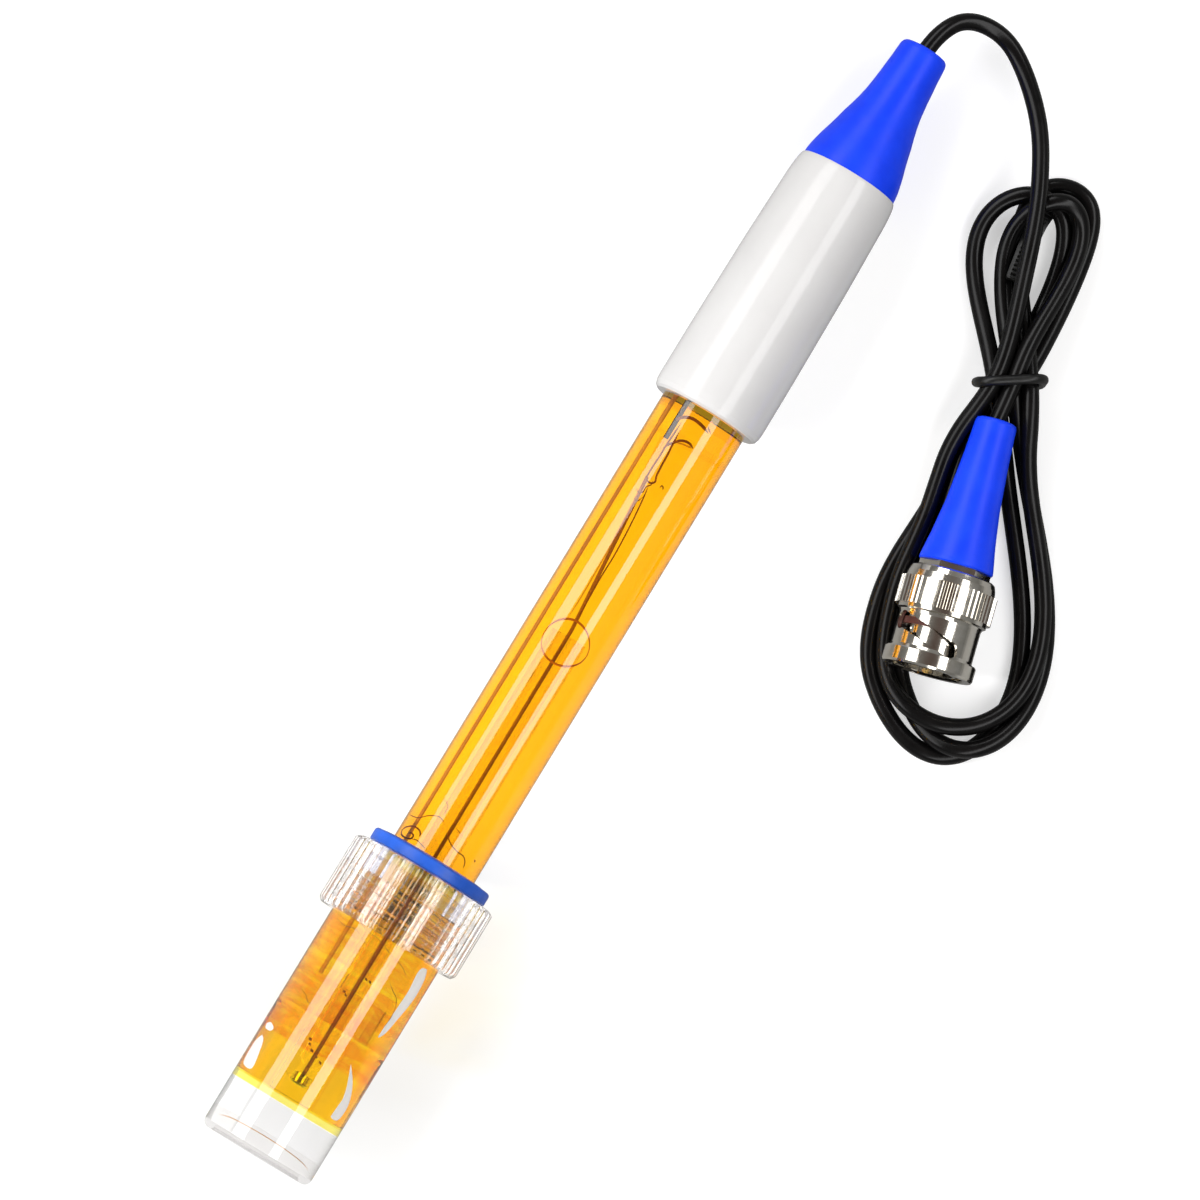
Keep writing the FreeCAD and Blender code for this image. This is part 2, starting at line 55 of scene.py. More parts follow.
# ------------------------------------------------------------------ camera
tilt = math.radians(1.614)
cam_at = Vector((-47.94, -0.89, 933.32))
look_at = Vector((0.47, -0.89, 9.006))
forward = (look_at - cam_at).normalized()
along = Vector((math.cos(tilt), 0, -math.sin(tilt)))
along = (along - forward * along.dot(forward)).normalized()
across = Vector((0, -1, 0))
across = (across - forward * across.dot(forward)).normalized()
right = (0.51935 * along + 0.85456 * across).normalized()
up = right.cross(forward).normalized()
cam_data = bpy.data.cameras.new("camera")
cam_data.sensor_width = 36.0
cam_data.sensor_fit = "HORIZONTAL"
cam_data.lens = 215.2
cam_data.clip_start = 0.01
cam_data.clip_end = 20.0
cam_data.dof.use_dof = False
camera = bpy.data.objects.new("camera", cam_data)
scene.collection.objects.link(camera)
camera.matrix_world = Matrix((
    (right.x, up.x, -forward.x, cam_at.x * MM),
    (right.y, up.y, -forward.y, cam_at.y * MM),
    (right.z, up.z, -forward.z, cam_at.z * MM),
    (0, 0, 0, 1)))
scene.camera = camera


# ------------------------------------------------------------------ materials
def new_material(name):
    m = bpy.data.materials.new(name)
    m.use_nodes = True
    m.node_tree.nodes.clear()
    return m, m.node_tree


def noise(nt, scale, detail=4.0, rough=0.55, stretch=(1, 1, 1), turn=(0, 0, 0)):
    tc = nt.nodes.new("ShaderNodeTexCoord")
    mp = nt.nodes.new("ShaderNodeMapping")
    mp.inputs["Scale"].default_value = stretch
    mp.inputs["Rotation"].default_value = turn
    n = nt.nodes.new("ShaderNodeTexNoise")
    n.inputs["Scale"].default_value = scale
    n.inputs["Detail"].default_value = detail
    n.inputs["Roughness"].default_value = rough
    nt.links.new(tc.outputs["Object"], mp.inputs["Vector"])
    nt.links.new(mp.outputs["Vector"], n.inputs["Vector"])
    return n


def ramp(nt, source, stops):
    r = nt.nodes.new("ShaderNodeValToRGB")
    e = r.color_ramp.elements
    while len(e) < len(stops):
        e.new(0.5)
    for el, (at, c) in zip(e, stops):
        el.position = at
        el.color = (*c, 1) if len(c) == 3 else c
    nt.links.new(source, r.inputs["Fac"])
    return r


def span(nt, source, lo, hi, from_lo=0.3, from_hi=0.7):
    m = nt.nodes.new("ShaderNodeMapRange")
    m.inputs["From Min"].default_value = from_lo
    m.inputs["From Max"].default_value = from_hi
    m.inputs["To Min"].default_value = lo
    m.inputs["To Max"].default_value = hi
    nt.links.new(source, m.inputs["Value"])
    return m.outputs["Result"]


def opaque(name, dark, light, rough=(0.3, 0.4), size=300.0, metallic=0.0, specular=0.5, coat=0.0, coat_rough=0.1,
           bump=0.05, bump_size=1500.0, depth=0.00005, stretch=(1, 1, 1), turn=(0, 0, 0), sheen=0.0, subsurface=0.0):
    m, nt = new_material(name)
    b = nt.nodes.new("ShaderNodeBsdfPrincipled")
    out = nt.nodes.new("ShaderNodeOutputMaterial")
    n = noise(nt, size, 5.0, 0.6, stretch, turn)
    c = ramp(nt, n.outputs["Fac"], [(0.32, dark), (0.68, light)])
    nt.links.new(c.outputs["Color"], b.inputs["Base Color"])
    nt.links.new(span(nt, n.outputs["Fac"], rough[0], rough[1]), b.inputs["Roughness"])
    b.inputs["Metallic"].default_value = metallic
    b.inputs["Specular IOR Level"].default_value = specular
    b.inputs["Coat Weight"].default_value = coat
    b.inputs["Coat Roughness"].default_value = coat_rough
    b.inputs["Sheen Weight"].default_value = sheen
    if subsurface:
        b.inputs["Subsurface Weight"].default_value = subsurface
        b.inputs["Subsurface Radius"].default_value = (1, 1, 1)
        b.inputs["Subsurface Scale"].default_value = 0.0008
    g = noise(nt, bump_size, 3.0, 0.5, stretch, turn)
    bp = nt.nodes.new("ShaderNodeBump")
    bp.inputs["Strength"].default_value = bump
    bp.inputs["Distance"].default_value = depth
    nt.links.new(g.outputs["Fac"], bp.inputs["Height"])
    nt.links.new(bp.outputs["Normal"], b.inputs["Normal"])
    nt.links.new(b.outputs["BSDF"], out.inputs["Surface"])
    return m


def clear(name, face, edge, shadow, ior=1.45, rough=(0.0, 0.02), size=200.0, bump=0.02, bump_size=300.0, depth=0.00005,
          stretch=(1, 1, 1), coat=0.0, blend=0.35):
    """Clear plastic or glass: refracts, and lets the lamps through tinted."""
    m, nt = new_material(name)
    b = nt.nodes.new("ShaderNodeBsdfPrincipled")
    out = nt.nodes.new("ShaderNodeOutputMaterial")
    lw = nt.nodes.new("ShaderNodeLayerWeight")
    lw.inputs["Blend"].default_value = blend
    c = ramp(nt, lw.outputs["Facing"], [(0.0, face), (1.0, edge)])
    n = noise(nt, size, 3.0, 0.5, stretch)
    v = ramp(nt, n.outputs["Fac"], [(0.3, (0.985, 0.985, 0.985)), (0.7, (1, 1, 1))])
    mul = nt.nodes.new("ShaderNodeMix")
    mul.data_type = "RGBA"
    mul.blend_type = "MULTIPLY"
    mul.inputs["Factor"].default_value = 1.0
    nt.links.new(c.outputs["Color"], mul.inputs[6])
    nt.links.new(v.outputs["Color"], mul.inputs[7])
    nt.links.new(mul.outputs[2], b.inputs["Base Color"])
    nt.links.new(span(nt, n.outputs["Fac"], rough[0], rough[1]), b.inputs["Roughness"])
    b.inputs["Transmission Weight"].default_value = 1.0
    b.inputs["IOR"].default_value = ior
    b.inputs["Coat Weight"].default_value = coat
    b.inputs["Coat Roughness"].default_value = 0.02
    b.inputs["Coat IOR"].default_value = 1.6
    g = noise(nt, bump_size, 2.0, 0.5, stretch)
    bp = nt.nodes.new("ShaderNodeBump")
    bp.inputs["Strength"].default_value = bump
    bp.inputs["Distance"].default_value = depth
    nt.links.new(g.outputs["Fac"], bp.inputs["Height"])
    nt.links.new(bp.outputs["Normal"], b.inputs["Normal"])
    t = nt.nodes.new("ShaderNodeBsdfTransparent")
    t.inputs["Color"].default_value = (*shadow, 1)
    lp = nt.nodes.new("ShaderNodeLightPath")
    mix = nt.nodes.new("ShaderNodeMixShader")
    nt.links.new(lp.outputs["Is Shadow Ray"], mix.inputs["Fac"])
    nt.links.new(b.outputs["BSDF"], mix.inputs[1])
    nt.links.new(t.outputs["BSDF"], mix.inputs[2])
    nt.links.new(mix.outputs["Shader"], out.inputs["Surface"])
    return m


def film(name, tint, gloss=0.004, rough=0.05, size=400.0, vary=0.985, shade=0.985):
    """A boundary inside clear plastic: light passes straight through it, a little tinted, with a faint gloss."""
    m, nt = new_material(name)
    out = nt.nodes.new("ShaderNodeOutputMaterial")
    n = noise(nt, size, 4.0, 0.6)
    c = ramp(nt, n.outputs["Fac"], [(0.3, tuple(x * vary for x in tint)), (0.7, tint)])
    t = nt.nodes.new("ShaderNodeBsdfTransparent")
    nt.links.new(c.outputs["Color"], t.inputs["Color"])
    b = nt.nodes.new("ShaderNodeBsdfPrincipled")
    nt.links.new(c.outputs["Color"], b.inputs["Base Color"])
    nt.links.new(span(nt, n.outputs["Fac"], rough, rough + 0.1), b.inputs["Roughness"])
    mix = nt.nodes.new("ShaderNodeMixShader")
    mix.inputs["Fac"].default_value = gloss
    nt.links.new(t.outputs["BSDF"], mix.inputs[1])
    nt.links.new(b.outputs["BSDF"], mix.inputs[2])
    plain = nt.nodes.new("ShaderNodeBsdfTransparent")
    plain.inputs["Color"].default_value = (shade, shade, shade, 1)
    lp = nt.nodes.new("ShaderNodeLightPath")
    pick = nt.nodes.new("ShaderNodeMixShader")
    nt.links.new(lp.outputs["Is Shadow Ray"], pick.inputs["Fac"])
    nt.links.new(mix.outputs["Shader"], pick.inputs[1])
    nt.links.new(plain.outputs["BSDF"], pick.inputs[2])
    nt.links.new(pick.outputs["Shader"], out.inputs["Surface"])
    return m


AMBER_FACE, AMBER_EDGE = (1.0, 0.455, 0.001), (1.0, 0.38, 0.001)
amber = clear("amber_plastic", AMBER_FACE, AMBER_EDGE, (0.93, 0.91, 0.88), ior=1.45, stretch=(0.15, 1, 1), coat=0.5)
amber_wet = clear("amber_plastic_wet", (1.0, 0.79, 0.08), (1.0, 0.63, 0.04), (0.95, 0.94, 0.92), ior=1.10, coat=0.5, stretch=(0.15, 1, 1))
bore_film = film("tube_bore", (0.999, 0.99, 0.96))
stem_glass = clear("stem_glass", (1.0, 0.985, 0.95), (0.97, 0.90, 0.75), (0.98, 0.97, 0.96), ior=1.07, coat=0.3)
gel = film("amber_gel", (0.999, 0.975, 0.86))
liquid = film("storage_liquid", (0.999, 0.94, 0.42))
bottle_clear = clear("bottle_plastic", (0.985, 0.982, 0.98), (0.90, 0.895, 0.89), (0.93, 0.93, 0.93), ior=1.47, coat=0.5)
# the foot and the bottom end are the bottle's clear plastic tinted grey, darker towards the foot's edges: painted shade
# on the bottle's foot
bottle_foot_painted_shade = clear("bottle_foot_painted_shade", (0.86, 0.853, 0.85), (0.60, 0.59, 0.585), (0.93, 0.93, 0.93), ior=1.47, coat=0.5)
bottle_wall = film("bottle_inner_wall", (0.998, 0.995, 0.99))
bottle_end_painted_shade = film("bottle_end_painted_shade", (0.86, 0.853, 0.85), gloss=0.06)
recess_film = film("bottle_recess", (0.965, 0.96, 0.955))
nut_clear = clear("nut_plastic", (0.995, 0.985, 0.98), (0.90, 0.875, 0.87), (0.90, 0.89, 0.89), ior=1.13, rough=(0.02, 0.07), coat=1.0, bump=0.0)
white = opaque("white_plastic", (0.60, 0.592, 0.588), (0.625, 0.618, 0.613), rough=(0.10, 0.15), size=120, specular=0.3, bump=0.02, bump_size=900)
blue = opaque("blue_plastic", (0.0035, 0.040, 0.76), (0.005, 0.052, 0.86), rough=(0.34, 0.44), size=250, specular=0.22, bump=0.1, bump_size=2600, depth=0.00004)
blue_soft = opaque("blue_elastomer", (0.012, 0.075, 0.42), (0.02, 0.105, 0.56), rough=(0.3, 0.42), size=350, specular=0.3, bump=0.12, bump_size=2200)
nickel = opaque("nickel_plate", (0.66, 0.62, 0.545), (0.78, 0.75, 0.69), rough=(0.07, 0.16), size=500, metallic=1.0, bump=0.05, bump_size=1400)
steel = opaque("spring_steel", (0.45, 0.44, 0.42), (0.62, 0.61, 0.58), rough=(0.2, 0.35), size=700, metallic=1.0)
platinum = opaque("platinum", (0.62, 0.61, 0.58), (0.80, 0.79, 0.76), rough=(0.08, 0.2), size=1500, metallic=1.0)
wire = opaque("drawn_wire", (0.28, 0.085, 0.004), (0.50, 0.19, 0.01), rough=(0.3, 0.45), size=900, specular=0.2, stretch=(0.1, 1, 1))
ref_wire = opaque("chlorided_wire", (0.70, 0.30, 0.02), (0.86, 0.42, 0.04), rough=(0.4, 0.6), size=900, specular=0.15, stretch=(0.1, 1, 1))
sheath = clear("amber_sheath", (1.0, 0.62, 0.06), (0.75, 0.25, 0.02), (0.95, 0.85, 0.7), ior=1.12, coat=0.3)
insulation = opaque("black_insulation", (0.006, 0.002, 0.001), (0.02, 0.008, 0.002), rough=(0.35, 0.5), size=900, specular=0.1)
seal = film("orange_seal", (0.995, 0.92, 0.55), size=260.0, vary=0.93)
pin_ceramic = opaque("porous_ceramic", (0.62, 0.55, 0.42), (0.80, 0.74, 0.62), rough=(0.7, 0.9), size=3000, bump=0.4, bump_size=5000)
potting = film("amber_potting", (1.0, 0.95, 0.75), size=260.0)
cable = opaque("cable_jacket", (0.0022, 0.0021, 0.0021), (0.005, 0.0046, 0.0046), rough=(0.2, 0.27), size=260, specular=0.2, bump=0.06,
               bump_size=1600, depth=0.00006)
rubber = opaque("black_elastomer", (0.003, 0.003, 0.003), (0.008, 0.008, 0.0075), rough=(0.3, 0.42), size=900, specular=0.35, bump=0.15, bump_size=3500)
lip = clear("clear_elastomer", (0.90, 0.90, 0.96), (0.70, 0.72, 0.90), (0.9, 0.9, 0.95), ior=1.2, rough=(0.1, 0.3), coat=0.3)
insulator = opaque("white_insulator", (0.74, 0.73, 0.69), (0.84, 0.83, 0.80), rough=(0.4, 0.55), size=700)
gold = opaque("gold_plate", (0.72, 0.47, 0.13), (0.88, 0.64, 0.26), rough=(0.12, 0.22), size=900, metallic=1.0)
red = opaque("ring_gasket", (0.05, 0.012, 0.009), (0.08, 0.02, 0.014), rough=(0.5, 0.65), size=900)
crimp = opaque("crimped_metal", (0.5, 0.49, 0.46), (0.68, 0.67, 0.64), rough=(0.25, 0.4), size=900, metallic=1.0)
# the air bubbles are opaque near-white discs with a weak warm emission: painted light for the brightness seen through
# the air pockets
bubble = opaque("air_bubble", (0.88, 0.86, 0.84), (0.96, 0.95, 0.94), rough=(0.05, 0.12), size=500, coat=0.6)
bubble_painted_glow = bubble.node_tree.nodes["Principled BSDF"]
bubble_painted_glow.inputs["Emission Color"].default_value = (1.0, 0.93, 0.86, 1)
bubble_painted_glow.inputs["Emission Strength"].default_value = 0.3
mark = opaque("amber_streak", (0.12, 0.03, 0.002), (0.34, 0.10, 0.006), rough=(0.3, 0.45), size=1500, specular=0.2)
pale_mark = opaque("amber_ring", (0.48, 0.13, 0.004), (0.66, 0.21, 0.01), rough=(0.25, 0.4), size=1500, specular=0.2)
faint_mark = opaque("amber_line", (0.62, 0.24, 0.008), (0.78, 0.34, 0.02), rough=(0.25, 0.4), size=1500, specular=0.2)

# irregular darker clouds in the amber near the seal
swirl, nt = new_material("amber_clouds")
n1 = noise(nt, 230.0, 3.0, 0.55, (1.5, 0.55, 0.55), (0.35, 0.2, 0.3))
n1.inputs["Distortion"].default_value = 1.4
edge = ramp(nt, n1.outputs["Fac"], [(0.0, (1, 1, 1)), (0.44, (1.0, 0.99, 0.93)), (0.475, (0.995, 0.90, 0.55)), (0.56, (0.99, 0.87, 0.45)), (0.585, (1.0, 0.98, 0.85)),
                                    (0.68, (0.998, 0.95, 0.75)), (1.0, (1, 1, 1))])
t = nt.nodes.new("ShaderNodeBsdfTransparent")
nt.links.new(edge.outputs["Color"], t.inputs["Color"])
out = nt.nodes.new("ShaderNodeOutputMaterial")
nt.links.new(t.outputs["BSDF"], out.inputs["Surface"])


def paint(node, material):
    o = nodes[node]
    o.data.materials.clear()
    o.data.materials.append(material)


for node, material in {
    "glass_stem": stem_glass, "platinum_tip": platinum, "stem_lead_wire": wire, "lead_sheath": sheath, "signal_lead": insulation,
    "reference_wire": ref_wire, "reference_lead": ref_wire, "gel_electrolyte": gel, "stem_seal": seal,
    "reference_junction": pin_ceramic, "upper_plug": potting, "head_sleeve": white, "strain_cap": blue, "cable_crimp": crimp,
    "cable_core_end": insulator, "cord_inner": cable, "cord_run": cable, "cord_hank": cable, "cord_tail": cable,
    "hank_band": rubber, "tie_strip": rubber, "plug_boot": blue, "plug_cable_end": cable, "plug_ferrule": nickel,
    "plug_body": nickel, "plug_insulator": insulator, "plug_centre_pin": gold, "plug_gasket": red,
    "plug_retaining_ring": steel, "plug_wave_washer": steel, "plug_thrust_washer": steel, "plug_coupling": nickel,
    "storage_bottle": bottle_clear, "storage_solution": liquid, "bottle_gasket": blue_soft, "bottle_nut": nut_clear,
    "body_tube": amber,
}.items():
    paint(node, material)


# ------------------------------------------------------------------ mesh helpers, all in mm
def finish_mesh(name, bm, place, materials, body, sharp=32.0, recalc=True):
    if recalc:
        bmesh.ops.recalc_face_normals(bm, faces=bm.faces)
    for f in bm.faces:
        f.smooth = True
    for e in bm.edges:
        if len(e.link_faces) == 2 and e.calc_face_angle(0.0) > math.radians(sharp):
            e.smooth = False
    me = bpy.data.meshes.new(name)
    bm.to_mesh(me)
    bm.free()
    me.transform(Matrix.Scale(MM, 4) @ place)
    for m in materials:
        me.materials.append(m)
    o = bpy.data.objects.new(name, me)
    scene.collection.objects.link(o)
    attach(o, body)
    return o


def revolve(bm, profile, seg=128, material=0, closed=True):
    """Turns a profile of (x, r) points about the X axis. Points at r 0 become single vertices."""
    rings = []
    for x, r in profile:
        if r < 1e-6:
            rings.append([bm.verts.new((x, 0, 0))])
        else:
            rings.append([bm.verts.new((x, r * math.sin(2 * math.pi * k / seg), r * math.cos(2 * math.pi * k / seg))) for k in range(seg)])
    pairs = list(zip(rings, rings[1:]))
    if closed and len(rings[0]) > 1 and len(rings[-1]) > 1:
        pairs.append((rings[-1], rings[0]))
    for a, b in pairs:
        for k in range(seg):
            n = (k + 1) % seg
            if len(a) == 1 and len(b) == 1:
                continue
            if len(a) == 1:
                q = (a[0], b[k], b[n])
            elif len(b) == 1:
                q = (a[k], b[0], a[n])
            else:
                q = (a[k], b[k], b[n], a[n])
            f = bm.faces.new(q)
            f.material_index = material
    return rings


def arc(cx, cr, radius, a0, a1, steps=5):
    """Points of a rounded corner in the (x, r) plane."""
    return [(cx + radius * math.cos(math.radians(a0 + (a1 - a0) * i / steps)), cr + radius * math.sin(math.radians(a0 + (a1 - a0) * i / steps)))
            for i in range(steps + 1)]


def sweep(bm, points, radius, sides=8, material=0, closed=False):
    """A thin round strand along points, in mm. radius may be one number or one a point."""
    pts = [Vector(p) for p in points]
    radii = [radius] * len(pts) if isinstance(radius, (int, float)) else list(radius)
    count = len(pts)
    normal = None
    rings = []
    for i, p in enumerate(pts):
        a = pts[i - 1] if (closed or i) else pts[0]
        b = pts[(i + 1) % count] if (closed or i < count - 1) else pts[-1]
        t = (b - a).normalized()
        if normal is None:
            normal = t.orthogonal().normalized()
        normal = (normal - t * normal.dot(t)).normalized()
        side = t.cross(normal)
        rings.append([bm.verts.new(p + (normal * math.cos(2 * math.pi * k / sides) + side * math.sin(2 * math.pi * k / sides)) * radii[i])
                      for k in range(sides)])
    for i in range(count if closed else count - 1):
        a, b = rings[i], rings[(i + 1) % count]
        shift = 0
        if closed and i == count - 1:
            shift = min(range(sides), key=lambda s: (a[0].co - b[s].co).length)
        for k in range(sides):
            bm.faces.new((a[k], a[(k + 1) % sides], b[(k + 1 + shift) % sides], b[(k + shift) % sides])).material_index = material
    if not closed:
        bm.faces.new(list(reversed(rings[0]))).material_index = material
        bm.faces.new(rings[-1]).material_index = material


def smooth_line(points, per=5):
    """A smooth line through a few given marks, for thin streaks."""
    pts = [Vector(p) for p in points]
    out = []
    for i in range(len(pts) - 1):
        p0, p1, p2, p3 = pts[max(i - 1, 0)], pts[i], pts[i + 1], pts[min(i + 2, len(pts) - 1)]
        for k in range(per):
            t = k / per
            out.append(0.5 * ((2 * p1) + (p2 - p0) * t + (2 * p0 - 5 * p1 + 4 * p2 - p3) * t * t + (3 * p1 - p0 - 3 * p2 + p3) * t ** 3))
    out.append(pts[-1])
    return out


def on_round(x, angle, r):
    """A point on a round surface about the axis: angle in degrees from the top towards +Y."""
    a = math.radians(angle)
    return Vector((x, r * math.sin(a), r * math.cos(a)))


# ------------------------------------------------------------------ cable
# the route of part.py's run, then the hank: 12 or more points for each turn, in mm
ROUTE = [
    (82.67, 0.00, 6.69), (85.95, 0.00, 6.58), (90.45, -2.26, 5.10), (91.36, -7.69, 3.60),
    (88.53, -12.63, 3.60), (83.20, -17.95, 5.30), (76.64, -21.66, 7.20), (71.54, -23.82, 8.17),
    (67.94, -25.14, 8.07), (65.01, -26.17, 7.58), (62.01, -27.22, 7.19), (58.68, -28.34, 6.98),
    (55.25, -29.29, 6.91), (51.84, -29.90, 6.93), (48.23, -29.76, 6.52), (44.42, -29.32, 5.42),
    (40.55, -29.49, 4.66), (36.58, -30.40, 4.15), (32.40, -31.38, 3.74), (27.98, -31.95, 3.40),
    (23.61, -32.51, 3.03), (19.59, -33.66, 2.70), (15.88, -35.11, 2.40), (12.73, -36.87, 2.38),
    (10.58, -39.37, 2.94), (9.50, -42.36, 3.72), (9.40, -45.43, 4.13), (10.20, -48.32, 4.15),
    (11.82, -50.80, 3.94), (14.20, -52.69, 3.71), (17.19, -53.84, 3.53), (20.65, -54.08, 3.44),
    (24.40, -53.33, 3.42), (28.25, -51.66, 3.45), (32.05, -49.26, 3.45), (35.72, -46.42, 3.46),
    (39.21, -43.47, 3.62), (42.55, -40.76, 4.10), (45.80, -38.60, 4.84), (48.93, -36.96, 5.57),
    (51.78, -35.33, 5.82), (54.41, -33.66, 5.33), (57.02, -31.92, 4.53), (59.70, -29.86, 3.68),
    (62.60, -27.64, 2.78), (65.70, -25.43, 1.94), (68.93, -23.46, 1.43), (72.11, -22.12, 1.19),
    (74.95, -21.82, 1.16), (77.12, -22.63, 1.17), (78.43, -24.16, 1.20), (78.99, -25.91, 1.19),
    (78.87, -27.64, 1.19), (77.99, -29.21, 1.20), (76.18, -30.45, 1.19), (73.55, -31.33, 1.18),
    (70.41, -31.96, 1.27), (67.00, -32.44, 1.54), (63.54, -32.79, 1.94), (60.15, -33.03, 2.28),
    (56.93, -33.18, 2.57), (53.83, -33.12, 2.60), (50.42, -32.73, 1.82), (46.64, -32.32, 1.24),
    (42.65, -31.95, 1.16), (38.55, -31.53, 1.16), (34.47, -31.31, 1.21), (30.40, -31.19, 1.23),
    (26.35, -31.05, 1.17), (22.36, -31.28, 1.16), (18.51, -32.11, 1.18), (14.92, -33.34, 1.17),
    (11.83, -35.15, 1.17), (9.40, -37.69, 1.18), (7.51, -40.59, 1.18), (6.20, -43.58, 1.18),
    (5.75, -46.59, 1.20), (6.38, -49.40, 1.21), (8.14, -51.61, 1.19), (10.86, -53.01, 1.19),
    (14.21, -53.59, 1.21), (17.91, -53.34, 1.19), (21.78, -52.22, 1.19), (25.68, -50.31, 1.21),
    (29.48, -47.87, 1.23), (33.05, -45.19, 1.22), (36.32, -42.56, 1.17), (39.30, -40.13, 1.18),
    (41.99, -37.98, 1.35), (44.37, -36.16, 1.78), (46.52, -34.37, 2.91), (48.74, -32.40, 4.25),
    (51.29, -30.40, 4.81), (53.89, -28.24, 4.23), (56.49, -25.89, 3.22), (59.16, -23.43, 2.18),
    (61.91, -21.10, 1.45), (64.74, -19.24, 1.24), (67.64, -18.14, 1.50), (70.46, -18.04, 2.06),
    (72.96, -18.96, 2.87), (74.87, -20.74, 3.44), (75.78, -23.02, 3.51), (75.55, -25.31, 3.42),
    (74.20, -27.27, 3.12), (71.84, -28.71, 2.44), (68.79, -29.69, 1.73), (65.30, -30.33, 1.32),
    (61.67, -30.70, 1.27), (58.10, -30.78, 1.68), (54.67, -30.58, 2.35), (51.40, -30.30, 2.42),
    (48.29, -30.29, 2.42), (45.12, -30.69, 3.05), (41.70, -31.34, 3.54), (38.08, -32.29, 3.41),
    (34.26, -33.16, 2.78), (30.19, -33.58, 1.96), (26.04, -33.91, 1.32), (22.11, -34.75, 1.14),
    (18.48, -36.08, 1.20), (15.19, -37.66, 1.15), (12.38, -39.72, 1.14), (10.19, -42.29, 1.28),
    (8.61, -44.89, 1.75), (7.83, -47.46, 2.61), (7.99, -50.02, 3.43), (9.19, -52.42, 3.73),
    (11.42, -54.34, 3.38), (14.47, -55.47, 2.68), (17.99, -55.75, 1.95), (21.71, -55.21, 1.43),
    (25.45, -53.89, 1.21), (29.16, -51.89, 1.20), (32.78, -49.37, 1.22), (36.25, -46.52, 1.20),
    (39.54, -43.56, 1.26), (42.65, -40.73, 1.64), (45.58, -38.17, 2.38), (48.24, -35.91, 3.42),
    (50.59, -33.91, 4.36), (52.88, -32.04, 4.57), (55.31, -30.20, 4.61), (57.90, -28.16, 3.91),
    (60.78, -25.98, 3.13), (63.99, -23.90, 2.87), (67.36, -22.30, 3.23), (70.57, -21.78, 4.04),
    (73.21, -22.47, 5.02), (75.09, -23.82, 5.77), (76.23, -25.29, 5.85), (76.54, -26.85, 5.38),
    (75.82, -28.50, 4.68), (73.94, -29.91, 4.01), (71.11, -30.79, 3.73), (67.70, -31.17, 4.02),
    (64.11, -31.22, 4.85), (60.68, -31.18, 5.99), (57.61, -31.28, 6.83), (54.93, -31.68, 6.92),
    (52.42, -32.17, 6.79), (49.94, -32.52, 6.75), (47.24, -32.84, 6.60),
]
line = bpy.data.curves.new("cable", "CURVE")
line.dimensions = "3D"
spline = line.splines.new("NURBS")
spline.points.add(len(ROUTE) - 1)
for point, (x, y, z) in zip(spline.points, ROUTE):
    point.co = (x * MM, y * MM, z * MM, 1.0)
spline.order_u = 3
spline.use_endpoint_u = True
line.resolution_u = 8
line.bevel_depth = 1.15 * MM
line.bevel_resolution = 5
line.use_fill_caps = True
line.materials.append(cable)
cord = bpy.data.objects.new("cable", line)
scene.collection.objects.link(cord)
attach(cord, "electrode")
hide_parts("cord_run", "cord_hank", "cord_tail")

# ------------------------------------------------------------------ band: a round elastic cord about the waist of the hank
band_at = Matrix.Translation((52.69, -31.73, 4.55)) @ Matrix.Rotation(math.radians(-58.7), 4, "Z")
half_w, half_h, corner, thick = 7.1 / 2 + 0.68, 6.36 / 2 + 0.68, 2.1, 0.66
loop = []
for cx, cz, start in ((half_w - corner, half_h - corner, 90), (half_w - corner, -half_h + corner, 0),
                      (-half_w + corner, -half_h + corner, -90), (-half_w + corner, half_h - corner, 180)):
    for i in range(9):
        a = math.radians(start - 90 * i / 8)
        loop.append(Vector((cx + corner * math.cos(a), 0, cz + corner * math.sin(a))))
fine = []
for i, p in enumerate(loop):
    q = loop[(i + 1) % len(loop)]
    steps = max(1, round((q - p).length / 0.7))
    fine += [p.lerp(q, s / steps) for s in range(steps)]
for i, p in enumerate(fine):
    # the cord isn't perfectly flat in its plane
    p.y += 0.16 * math.sin(2 * math.pi * i / len(fine) * 2 + 0.6)
bm = bmesh.new()
sweep(bm, fine, thick, 20, closed=True)
band = finish_mesh("hank_ring", bm, band_at, [rubber], "electrode", sharp=60)
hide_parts("hank_band")

